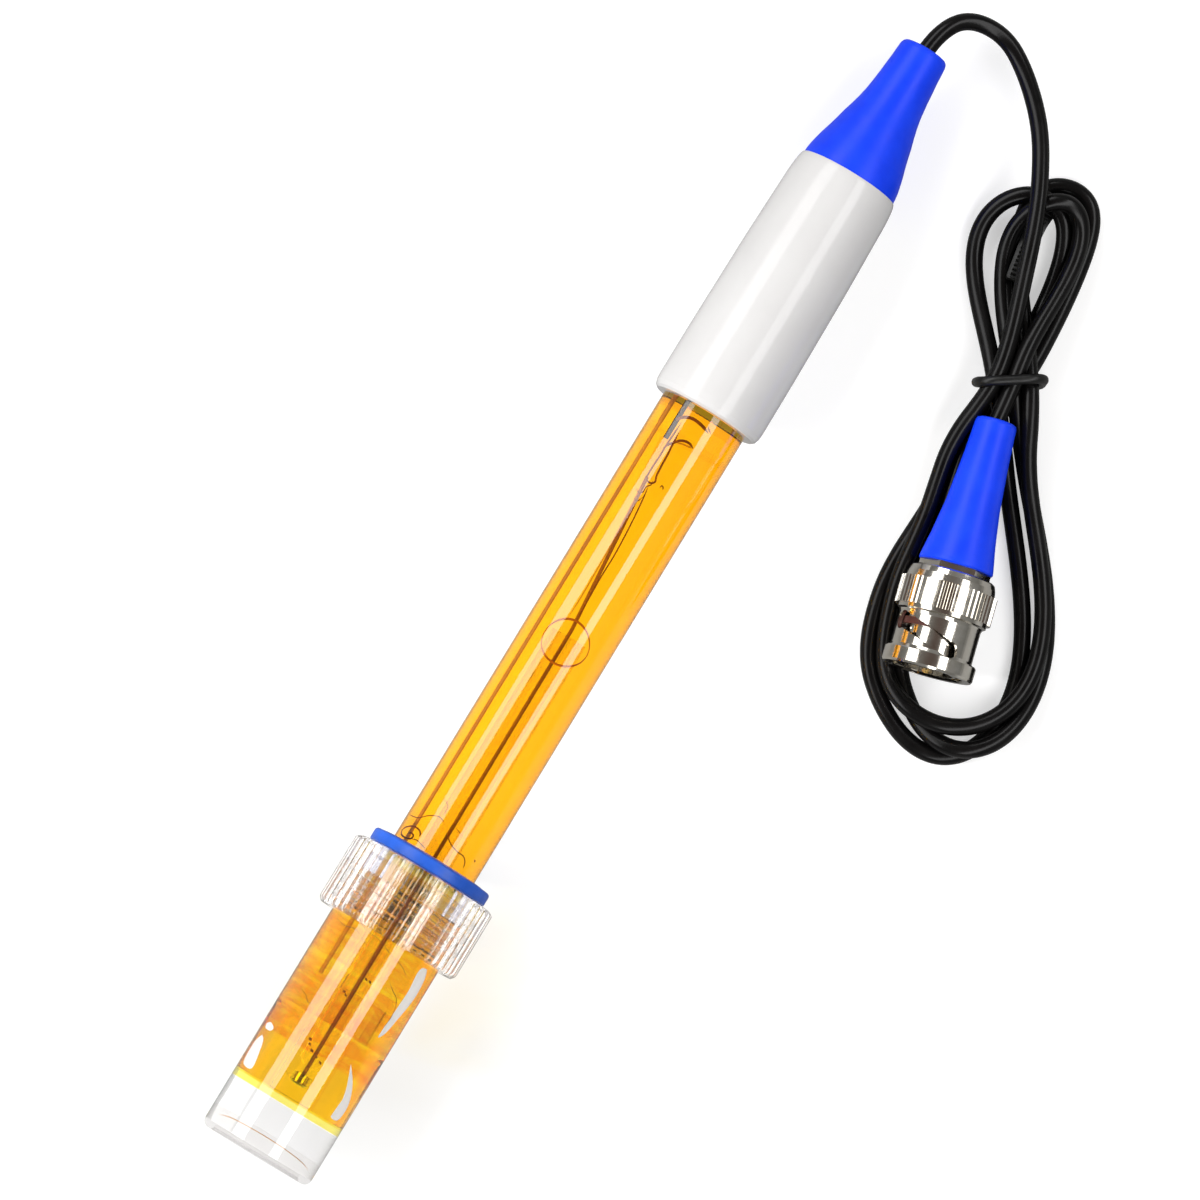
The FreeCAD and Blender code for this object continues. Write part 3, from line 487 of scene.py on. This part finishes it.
# ------------------------------------------------------------------ serrated tail of the tie
TAIL = [(64.25, -25.42, 4.75), (65.9, -25.12, 4.35), (67.6, -24.85, 3.9), (69.4, -24.55, 3.4), (71.21, -24.30, 2.95), (72.7, -24.22, 2.5),
        (74.0, -24.30, 2.1), (75.27, -24.49, 1.75)]
tail_line = smooth_line(TAIL, 6)
bm = bmesh.new()
rows = []
length = 0.0
for i, p in enumerate(tail_line):
    if i:
        length += (p - tail_line[i - 1]).length
    a, b = tail_line[max(i - 1, 0)], tail_line[min(i + 1, len(tail_line) - 1)]
    t = (b - a).normalized()
    side = t.cross(Vector((0, 0, 1))).normalized()
    lift = side.cross(t).normalized()
    rows.append((p, side, lift, length))
teeth = []
step = 0.21
count = int(rows[-1][3] / step)
j = 0
for k in range(count + 1):
    s = rows[-1][3] * k / count
    while j < len(rows) - 2 and rows[j + 1][3] < s:
        j += 1
    f = (s - rows[j][3]) / max(rows[j + 1][3] - rows[j][3], 1e-6)
    p = rows[j][0].lerp(rows[j + 1][0], f)
    side, lift = rows[j][1], rows[j][2]
    tooth = 0.17 if (k % 3) else -0.09
    end = min(s, rows[-1][3] - s)
    w = 1.25 - (0.18 if end < 0.12 else 0.0)
    top = 0.30
    teeth.append([bm.verts.new(p + side * -w + lift * 0.34), bm.verts.new(p + side * (-w + 0.42) + lift * 0.44),
                  bm.verts.new(p + side * (-w + 0.5) + lift * (top + tooth)), bm.verts.new(p + side * (w - 0.5) + lift * (top + tooth)),
                  bm.verts.new(p + side * (w - 0.42) + lift * 0.44), bm.verts.new(p + side * w + lift * 0.34),
                  bm.verts.new(p + side * w + lift * -0.34), bm.verts.new(p + side * (w - 0.15) + lift * -0.46),
                  bm.verts.new(p + side * (-w + 0.15) + lift * -0.46), bm.verts.new(p + side * -w + lift * -0.34)])
for a, b in zip(teeth, teeth[1:]):
    for k in range(10):
        bm.faces.new((a[k], a[(k + 1) % 10], b[(k + 1) % 10], b[k]))
bm.faces.new(list(reversed(teeth[0])))
bm.faces.new(teeth[-1])
tie = finish_mesh("tie_tail", bm, WORLD, [rubber], "electrode", sharp=25)
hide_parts("tie_strip")

# ------------------------------------------------------------------ wave spring of the plug's lock; the real spring flattens as the coupling is pushed back, this one keeps its waves
bm = bmesh.new()
waves = []
for k in range(144):
    a = 2 * math.pi * k / 144
    mid = 22.975 + 0.40 * math.cos(3 * a)
    waves.append([bm.verts.new((mid + dx, r * math.sin(a), r * math.cos(a)))
                  for dx, r in ((-0.12, 4.20), (-0.12, 4.70), (-0.09, 4.73), (0.09, 4.73), (0.12, 4.70), (0.12, 4.20), (0.09, 4.17), (-0.09, 4.17))])
for k in range(144):
    a, b = waves[k], waves[(k + 1) % 144]
    for i in range(8):
        bm.faces.new((a[i], a[(i + 1) % 8], b[(i + 1) % 8], b[i]))
spring = finish_mesh("wave_spring", bm, PLUG, [steel], "electrode", sharp=40)
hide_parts("plug_wave_washer")
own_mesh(spring)

# ------------------------------------------------------------------ amber tube with three guard fingers
bm = bmesh.new()
outer = ([(8.9, 4.85)] + [(8.9, 5.45)] + arc(9.25, 5.5, 0.33, 180, 90, 4) + [(14.0, 5.83), (19.2, 5.83), (30.0, 5.83), (44.4, 5.83), (44.5, 6.0),
         (60.0, 6.0), (80.0, 6.0), (100.0, 6.0), (111.8, 6.0), (111.9, 5.83), (139.9, 5.83), (140.0, 5.7), (140.0, 4.85)]
         + [(110.0, 4.85), (80.0, 4.85), (50.0, 4.85), (24.6, 4.85), (19.2, 4.85), (14.0, 4.85)])
revolve(bm, outer, 160)
tube = finish_mesh("tube", bm, WORLD, [amber, amber_wet, bore_film], "electrode", sharp=40)
tube.data.transform(Matrix.Scale(1000.0, 4))
cutters = []
for k in range(3):
    cb = bmesh.new()
    ring = []
    for i in range(13):
        a = math.radians(-90 + 180 * i / 12)
        ring.append((19.2 + 0.0 + (1.6 * math.cos(a)), 2.5 * math.sin(a)))
    outline = [(7.0, -2.5)] + [(max(x, 17.6) if 0 else x, y) for x, y in ring] + [(7.0, 2.5)]
    outline = [(x - 1.6 if x > 10 else x, y) for x, y in outline]
    lower = [cb.verts.new((x, y, 3.0)) for x, y in outline]
    upper = [cb.verts.new((x, y, 8.0)) for x, y in outline]
    cb.faces.new(list(reversed(lower)))
    cb.faces.new(upper)
    for i in range(len(outline)):
        n = (i + 1) % len(outline)
        cb.faces.new((lower[i], lower[n], upper[n], upper[i]))
    bmesh.ops.recalc_face_normals(cb, faces=cb.faces)
    me = bpy.data.meshes.new("notch")
    cb.to_mesh(me)
    cb.free()
    me.transform(Matrix.Rotation(math.radians(-120 * k), 4, "X"))
    c = bpy.data.objects.new("notch_%d" % k, me)
    scene.collection.objects.link(c)
    cutters.append(c)
    mod = tube.modifiers.new("notch_%d" % k, "BOOLEAN")
    mod.operation = "DIFFERENCE"
    mod.solver = "EXACT"
    mod.object = c
bpy.context.view_layer.update()
cut = bpy.data.meshes.new_from_object(tube.evaluated_get(bpy.context.evaluated_depsgraph_get()))
tube.modifiers.clear()
for c in cutters:
    bpy.data.objects.remove(c)
bm = bmesh.new()
bm.from_mesh(cut)
for f in bm.faces:
    c = f.calc_center_median()
    r = math.hypot(c.y, c.z)
    inner = sum(1 for v in f.verts if math.hypot(v.co.y, v.co.z) < 4.9)
    if inner == len(f.verts) and 10.0 < c.x:
        f.material_index = 2
    elif c.x < 44.0:
        f.material_index = 1
    else:
        f.material_index = 0
    f.smooth = True
for e in bm.edges:
    e.smooth = not (len(e.link_faces) == 2 and e.calc_face_angle(0.0) > math.radians(35))
tube.data = bpy.data.meshes.new("tube")
bm.to_mesh(tube.data)
bm.free()
tube.data.transform(Matrix.Scale(MM, 4) @ ELECTRODE)
for m in (amber, amber_wet, bore_film):
    tube.data.materials.append(m)
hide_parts("body_tube")

# ------------------------------------------------------------------ storage bottle with its neck thread
bm = bmesh.new()
end = [(1.3, 7.95)] + arc(1.32, 6.95, 1.0, 90, 180, 6)[1:] + arc(0.77, 6.75, 0.45, 180, 270, 5)[1:]
recess = [(0.9, 6.28), (1.8, 6.2), (2.6, 6.05)] + arc(2.6, 5.1, 0.95, 90, 0, 5)[1:] + [(3.62, 4.0), (3.66, 2.0), (3.6, 0)]
side = arc(38.45, 7.65, 0.3, 0, 90, 3) + [(30.0, 7.95), (20.0, 7.95), (10.0, 7.95), (7.7, 7.95)]
foot = [(7.7, 7.95), (4.0, 7.95), (1.3, 7.95)]
inside = [(7.74, 0), (7.74, 3.0)] + arc(9.0, 5.6, 1.24, 180, 90, 7) + [(12.0, 6.84), (25.0, 6.84), (38.4, 6.84), (38.75, 6.86), (38.75, 7.65)]
revolve(bm, inside, 144, 1, closed=False)
revolve(bm, side, 144, 0, closed=False)
revolve(bm, foot, 144, 4, closed=False)
revolve(bm, end, 144, 2, closed=False)
revolve(bm, [end[-1]] + recess, 144, 3, closed=False)
bmesh.ops.remove_doubles(bm, verts=bm.verts, dist=0.0005)
bottle = finish_mesh("bottle", bm, ELECTRODE, [bottle_clear, bottle_wall, bottle_end_painted_shade, recess_film, bottle_foot_painted_shade], "bottle", sharp=50)
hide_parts("storage_bottle")

bm = bmesh.new()
revolve(bm, [(44.62, 6.1), (44.62, 6.6), (44.56, 7.2), (44.44, 7.8)] + arc(44.02, 8.12, 0.42, 20, 90, 5) + arc(42.92, 8.34, 0.2, 90, 180, 4)
        + [(42.7, 8.0), (42.62, 7.12), (42.62, 6.1)], 144, 0)
revolve(bm, [(38.85, 6.1), (38.85, 7.85), (38.95, 7.95), (41.1, 7.95), (41.18, 7.85), (41.18, 7.05), (42.58, 7.05), (42.58, 6.1)], 144, 1)
gasket = finish_mesh("gasket", bm, ELECTRODE, [blue_soft, lip], "gasket", sharp=40)
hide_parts("bottle_gasket")


def thread(name, x0, turns, pitch, r_root, r_top, start, material, body, per=72):
    """A rounded screw ridge on or in a round wall; the ridge fades at both ends."""
    b = bmesh.new()
    count = int(turns * per)
    rows = []
    for i in range(count + 1):
        a = 2 * math.pi * i / per + start
        x = x0 + pitch * i / per
        fade = min(1.0, i / 10, (count - i) / 10)
        top = r_root + (r_top - r_root) * max(fade, 0.02)
        row = []
        for dx, r in ((-0.55, r_root), (-0.28, r_root + (top - r_root) * 0.8), (0.0, top), (0.28, r_root + (top - r_root) * 0.8), (0.55, r_root)):
            row.append(b.verts.new((x + dx, r * math.sin(a), r * math.cos(a))))
        deep = r_root - 0.12 if r_top > r_root else r_root + 0.12
        row.append(b.verts.new((x, deep * math.sin(a), deep * math.cos(a))))
        rows.append(row)
    for a, c in zip(rows, rows[1:]):
        for k in range(6):
            b.faces.new((a[k], a[(k + 1) % 6], c[(k + 1) % 6], c[k]))
    b.faces.new(list(reversed(rows[0])))
    b.faces.new(rows[-1])
    return finish_mesh(name, b, ELECTRODE, [material], body, sharp=50)


thread("neck_thread", 33.2, 2.4, 2.0, 7.93, 8.3, 0.4, bottle_clear, "bottle")
thread("nut_thread", 34.2, 3.0, 2.0, 8.77, 8.42, 0.4, nut_clear, "nut")


# ------------------------------------------------------------------ bubbles, menisci and streaks in the amber
def streak(name, marks, r, thickness, material, body="electrode", per=5, taper=True):
    pts = smooth_line([on_round(x, a, r) for x, a in marks], per)
    n = len(pts)
    radii = [thickness * (max(0.25, min(1.0, i / 4, (n - 1 - i) / 4)) if taper else 1.0) for i in range(n)]
    b = bmesh.new()
    sweep(b, pts, radii, 8)
    return finish_mesh(name, b, ELECTRODE, [material], body, sharp=80)


streak("streak_wave", [(47.86, 74), (47.85, 62), (48.02, 49.8), (48.68, 40.1), (49.15, 32.0), (49.44, 23.4), (49.32, 17.6), (49.06, 12.7)], 5.8, 0.07, mark)
streak("streak_thin", [(51.78, 31.6), (51.48, 23.9), (51.07, 19.9), (50.47, 19.4), (49.89, 19.6)], 5.8, 0.05, mark)
streak("streak_curl", [(45.94, 32.7), (46.36, 33.2), (46.73, 38.6), (46.75, 49.1), (46.32, 60.8), (45.67, 67.4), (45.09, 62.2), (44.98, 52.0),
                       (45.18, 42.7), (45.69, 41.0), (45.89, 46.9), (45.58, 51.8)], 5.8, 0.12, mark)
streak("streak_tail", [(45.15, 42.5), (45.42, 33.1), (45.2, 22.7), (44.9, 12.9)], 5.8, 0.07, mark)
streak("streak_arc", [(48.83, 3.4), (48.17, 1.8), (47.53, -3.3), (47.07, -11.3), (46.81, -21.6), (46.76, -29.8), (46.42, -35.3), (45.9, -38.6),
                      (45.38, -39.4)], 5.8, 0.08, mark)
streak("streak_short", [(49.31, -2.5), (49.08, -9.1), (48.75, -18.3)], 5.8, 0.05, mark)
streak("arch_upper", [(108.85, 27.8), (109.36, 25.0), (109.83, 18.6), (110.06, 11.0), (110.05, 2.7), (109.86, -6.8), (109.52, -16.8)], 5.75, 0.22, mark)
streak("arch_lower", [(104.94, 23.4), (105.53, 20.5), (106.14, 15.2), (106.76, 10.0), (107.07, 3.6), (107.1, -3.2), (106.82, -10.0)], 5.75, 0.17, mark)
streak("arch_lower_edge", [(106.3, 13.5), (106.5, 8.0), (106.62, 2.0), (106.7, -4.5), (106.82, -10.0)], 5.75, 0.10, faint_mark)
streak("speck_mark", [(100.2, 0.6), (100.6, -0.6), (100.5, -3.0), (100.15, -4.5)], 5.75, 0.09, mark)

streak("sheath_outline", [(108.95, 20.4), (107.18, 21.0), (105.32, 21.9), (103.81, 21.8), (102.42, 22.4), (101.06, 22.4), (100.37, 21.2), (100.14, 14.4), (100.58, 9.5), (101.34, 11.8), (102.78, 13.1), (104.26, 13.7), (105.99, 15.2), (108.01, 16.9)], 5.72, 0.13, mark)
streak("lead_line_left", [(99.47, 21.0), (97.39, 20.4), (94.91, 18.9), (92.14, 17.1), (89.38, 15.3), (86.26, 14.4), (82.92, 13.7), (79.33, 14.5)], 5.72, 0.07, faint_mark)
streak("lead_line_right", [(99.85, 14.1), (97.9, 11.3), (95.49, 8.7), (92.9, 6.6), (89.68, 5.1), (86.5, 5.3), (83.1, 4.2), (79.7, 3.2)], 5.72, 0.09, mark)
streak("sheath_knot", [(98.7, 27.2), (98.32, 20.0), (98.68, 16.1), (99.44, 16.1), (99.98, 11.9), (100.56, 12.4)], 5.74, 0.08, mark)
streak("sheath_knot_low", [(98.09, 18.6), (97.5, 21.1), (97.36, 15.6), (98.3, 12.2)], 5.74, 0.07, mark)
streak("arch_tick", [(110.32, -11.5), (109.95, -15.0), (109.63, -20.0)], 5.74, 0.12, mark)

# clouds, specks and hair lines in the amber of the bottle's end
for name, x0, x1, r, body, slot in (("cloud_outer", 15.2, 26.4, 5.70, "electrode", "amber_tube"), 
                                    ("cloud_upper", 27.0, 41.5, 5.45, "electrode", "amber_tube")):
    bm = bmesh.new()
    low = [(x0 + (x1 - x0) * i / 8, r + 0.02 * math.sin(2.4 * i)) for i in range(9)]
    revolve(bm, low + [(x, q - 0.05) for x, q in reversed(low)], 96)
    finish_mesh(name, bm, ELECTRODE, [swirl], body, sharp=60)
streak("hair_a", [(37.5, 50), (34.9, 47), (33.1, 38), (32.2, 22), (32.0, 6), (31.2, -12), (30.6, -30), (29.6, -44)], 6.82, 0.035, mark, "bottle")
streak("hair_b", [(31.6, 64), (31.3, 48), (31.6, 33), (30.9, 20), (30.5, 12)], 6.82, 0.035, mark, "bottle")
streak("hair_c", [(28.2, -26), (27.4, -35), (26.6, -46), (24.7, -52), (22.4, -50)], 6.82, 0.04, mark, "bottle")
streak("hair_d", [(21.6, 58), (21.2, 44), (20.5, 36), (20.9, 28)], 6.82, 0.035, mark, "bottle")
streak("recess_line", [(2.5, 62), (2.9, 45), (3.1, 22), (3.15, 0), (3.05, -25), (2.75, -50), (2.3, -66)], 6.9, 0.05, faint_mark, "bottle")
for i, (x, a, w) in enumerate(((16.63, 12.3, 0.22), (16.04, 10.1, 0.16), (15.49, 4.7, 0.2), (24.01, 7.7, 0.18), (23.69, 4.4, 0.13), (26.78, -5, 0.15),
                               (26.75, -9.9, 0.17), (15.1, -2.0, 0.2), (14.7, -9.0, 0.18), (47.0, -51.5, 0.12))):
    at, body, slot = (5.74, "electrode", "amber_tube") if x > 44 else (6.78, "bottle", "clear_bottle")
    streak("speck_%d" % i, [(x - 0.14, a - 1.2), (x, a), (x + 0.1, a + 1.6), (x + 0.22, a + 2.0)], at, w, mark, body, per=3)

# the round outline of a bubble against the tube's wall
b = bmesh.new()
ring = []
for i in range(72):
    a = 2 * math.pi * i / 72
    wide = 3.05 + 0.05 * math.sin(3 * a + 0.5)
    ring.append(on_round(76.91 + wide * math.cos(a), math.degrees(math.asin(wide * math.sin(a) / 5.7)), 5.7))
sweep(b, ring, [0.115 + 0.05 * math.cos(2 * math.pi * i / 72 * 2 - 0.4) for i in range(72)], 10, closed=True)
finish_mesh("bubble_ring", b, ELECTRODE, [pale_mark], "electrode", sharp=80)


def pool(name, marks, r, thick, material, body):
    """A flat lens with a rounded edge lying on a round wall, from its outline's (x, angle) points."""
    line = smooth_line([Vector((x, a, 0)) for x, a in marks + marks[:1]], 5)[:-1]
    cx = sum(p.x for p in line) / len(line)
    ca = sum(p.y for p in line) / len(line)
    b = bmesh.new()
    layers = []
    for scale, lift in ((1.0, 0.0), (0.97, thick * 0.45), (0.86, thick * 0.8), (0.6, thick * 0.97), (0.3, thick)):
        layers.append([b.verts.new(on_round(cx + (p.x - cx) * scale, ca + (p.y - ca) * scale, r + lift)) for p in line])
    under = []
    for scale in (0.9, 0.5):
        under.append([b.verts.new(on_round(cx + (p.x - cx) * scale, ca + (p.y - ca) * scale, r - thick * 0.25)) for p in line])
    top = b.verts.new(on_round(cx, ca, r + thick))
    low = b.verts.new(on_round(cx, ca, r - thick * 0.3))
    n = len(line)
    for p, q in list(zip(layers, layers[1:])) + [(under[0], layers[0]), (under[1], under[0])]:
        for k in range(n):
            b.faces.new((p[k], p[(k + 1) % n], q[(k + 1) % n], q[k]))
    for k in range(n):
        b.faces.new((layers[-1][k], layers[-1][(k + 1) % n], top))
        b.faces.new((under[-1][(k + 1) % n], under[-1][k], low))
    return finish_mesh(name, b, ELECTRODE, [material], body, sharp=80)


pool("bubble_right", [(32.0, -62.0), (31.8, -54.0), (30.8, -51.5), (28.48, -54.0), (25.47, -52.5), (22.55, -50.9), (21.35, -51.2), (22.36, -58.0),
                      (24.4, -63.0), (26.91, -69.0), (28.77, -71.0), (30.8, -68.0)], 6.805, 0.028, bubble, "bottle")
pool("bubble_left", [(14.0, 72.0), (12.83, 80.0), (10.66, 80.0), (9.6, 74.0), (9.6, 56.0), (11.79, 58.7), (13.45, 64.3)], 6.805, 0.028, bubble, "bottle")
pool("bubble_small", [(15.55, 78.0), (15.93, 70.0), (15.5, 60.0), (14.95, 62.0), (14.95, 74.0)], 6.805, 0.028, bubble, "bottle")
pool("bubble_low", [(16.6, -38.4), (15.5, -43.8), (13.27, -51.5), (10.87, -56.5), (9.6, -52.0), (9.7, -66.0), (11.81, -68.7), (14.28, -56.9)], 6.805,
     0.028, bubble, "bottle")

# ------------------------------------------------------------------ floor, lamps and sky
bm = bmesh.new()
size = 3.0
grid = [[bm.verts.new((-size + 2 * size * i / 8, -size + 2 * size * j / 8, -0.00003)) for j in range(9)] for i in range(9)]
for i in range(8):
    for j in range(8):
        bm.faces.new((grid[i][j], grid[i + 1][j], grid[i + 1][j + 1], grid[i][j + 1]))
me = bpy.data.meshes.new("floor")
bm.to_mesh(me)
bm.free()
floor = bpy.data.objects.new("floor", me)
scene.collection.objects.link(floor)
m, nt = new_material("floor_white")
n = noise(nt, 6.0)
c = ramp(nt, n.outputs["Fac"], [(0.3, (0.595, 0.595, 0.595)), (0.7, (0.605, 0.605, 0.605))])
d = nt.nodes.new("ShaderNodeBsdfDiffuse")
nt.links.new(c.outputs["Color"], d.inputs["Color"])
e = nt.nodes.new("ShaderNodeEmission")
e.inputs["Color"].default_value = (1, 1, 1, 1)
tc = nt.nodes.new("ShaderNodeTexCoord")
sep = nt.nodes.new("ShaderNodeSeparateXYZ")
nt.links.new(tc.outputs["Object"], sep.inputs["Vector"])
rays = nt.nodes.new("ShaderNodeLightPath")
# seen through glass the floor emits 0.20 more: painted light behind the clear parts
through = nt.nodes.new("ShaderNodeMath")
through.operation = "MULTIPLY_ADD"
nt.links.new(rays.outputs["Is Transmission Ray"], through.inputs[0])
through.inputs[1].default_value = 0.20
# the floor's emission falls from 0.50 to 0.23 towards the bottle's end: a painted dimmer patch of floor there, so that
# the lamps' shadows show
nt.links.new(span(nt, sep.outputs["X"], 0.23, 0.50, -0.070, -0.035), through.inputs[2])
nt.links.new(through.outputs["Value"], e.inputs["Strength"])
# in glossy reflections the floor shows as a dim grey diffuse instead of its white: a painted dark reflection of the
# floor
dim = nt.nodes.new("ShaderNodeBsdfDiffuse")
dim.inputs["Color"].default_value = (0.28, 0.28, 0.275, 1)
add = nt.nodes.new("ShaderNodeAddShader")
nt.links.new(d.outputs["BSDF"], add.inputs[0])
nt.links.new(e.outputs["Emission"], add.inputs[1])
out = nt.nodes.new("ShaderNodeOutputMaterial")
pick = nt.nodes.new("ShaderNodeMixShader")
mirrored = nt.nodes.new("ShaderNodeMath")
mirrored.operation = "SUBTRACT"
mirrored.use_clamp = True
nt.links.new(rays.outputs["Is Glossy Ray"], mirrored.inputs[0])
nt.links.new(rays.outputs["Is Transmission Ray"], mirrored.inputs[1])
nt.links.new(mirrored.outputs["Value"], pick.inputs["Fac"])
nt.links.new(add.outputs["Shader"], pick.inputs[1])
nt.links.new(dim.outputs["BSDF"], pick.inputs[2])
bounce = nt.nodes.new("ShaderNodeMixShader")
nt.links.new(rays.outputs["Is Diffuse Ray"], bounce.inputs["Fac"])
nt.links.new(pick.outputs["Shader"], bounce.inputs[1])
nt.links.new(d.outputs["BSDF"], bounce.inputs[2])
nt.links.new(bounce.outputs["Shader"], out.inputs["Surface"])
me.materials.append(m)


def softbox(name, at, target, size_x, size_y, radiance, colour=(1, 1, 1)):
    data = bpy.data.lights.new(name, "AREA")
    data.shape = "RECTANGLE"
    data.size, data.size_y = size_x, size_y
    data.energy = radiance * math.pi * size_x * size_y
    data.color = colour
    o = bpy.data.objects.new(name, data)
    scene.collection.objects.link(o)
    z = (Vector(at) - Vector(target)).normalized()
    x = Vector((1, 0, 0))
    x = (x - z * x.dot(z)).normalized()
    y = z.cross(x)
    o.matrix_world = Matrix(((x.x, y.x, z.x, at[0]), (x.y, y.y, z.y, at[1]), (x.z, y.z, z.z, at[2]), (0, 0, 0, 1)))
    o.visible_camera = False
    return o


def beside(angle, distance):
    a = math.radians(angle)
    return (0.0, distance * math.sin(a), distance * math.cos(a))


softbox("strip_left", beside(45, 0.62), (0, 0, 0.01), 1.5, 0.30, 4.0)
softbox("strip_right", beside(-31, 0.62), (0, 0, 0.01), 1.5, 0.21, 4.6)

# a narrow lamp, low on the left, for the soft shadow beside the bottle's end
data = bpy.data.lights.new("low_spot", "SPOT")
data.spot_size = math.radians(21)
data.spot_blend = 1.0
data.shadow_soft_size = 0.05
data.energy = 19.0
low = bpy.data.objects.new("low_spot", data)
scene.collection.objects.link(low)
at = Vector((-0.075 - 0.33, 0.54, 0.27))
z = (at - Vector((-0.070, -0.012, 0.0))).normalized()
x = Vector((0, 0, 1)).cross(z).normalized()
y = z.cross(x)
low.matrix_world = Matrix(((x.x, y.x, z.x, at.x), (x.y, y.y, z.y, at.y), (x.z, y.z, z.z, at.z), (0, 0, 0, 1)))
low.visible_glossy = False

world = bpy.data.worlds.new("studio")
scene.world = world
world.use_nodes = True
nt = world.node_tree
nt.nodes.clear()
out = nt.nodes.new("ShaderNodeOutputWorld")
tc = nt.nodes.new("ShaderNodeTexCoord")
sep = nt.nodes.new("ShaderNodeSeparateXYZ")
nt.links.new(tc.outputs["Generated"], sep.inputs["Vector"])
sky = ramp(nt, sep.outputs["Z"], [(0.0, (0.30, 0.30, 0.29)), (0.12, (0.17, 0.17, 0.165)), (0.35, (0.22, 0.22, 0.215)), (0.60, (0.26, 0.26, 0.255)),
                                  (0.93, (0.16, 0.145, 0.135)), (1.0, (0.11, 0.08, 0.07))])
plain = nt.nodes.new("ShaderNodeBackground")
plain.inputs["Color"].default_value = (1, 1, 1, 1)
plain.inputs["Strength"].default_value = 1.0
lit = nt.nodes.new("ShaderNodeBackground")
nt.links.new(sky.outputs["Color"], lit.inputs["Color"])
lit.inputs["Strength"].default_value = 1.0
lp = nt.nodes.new("ShaderNodeLightPath")
mix = nt.nodes.new("ShaderNodeMixShader")
nt.links.new(lp.outputs["Is Camera Ray"], mix.inputs["Fac"])
nt.links.new(lit.outputs["Background"], mix.inputs[1])
nt.links.new(plain.outputs["Background"], mix.inputs[2])
nt.links.new(mix.outputs["Shader"], out.inputs["Surface"])

scene.view_settings.view_transform = "Standard"
scene.view_settings.look = "None"
scene.cycles.caustics_refractive = False
scene.cycles.caustics_reflective = False
scene.cycles.max_bounces = 16
scene.cycles.transmission_bounces = 14
scene.cycles.transparent_max_bounces = 48
scene.cycles.glossy_bounces = 6
scene.cycles.diffuse_bounces = 3
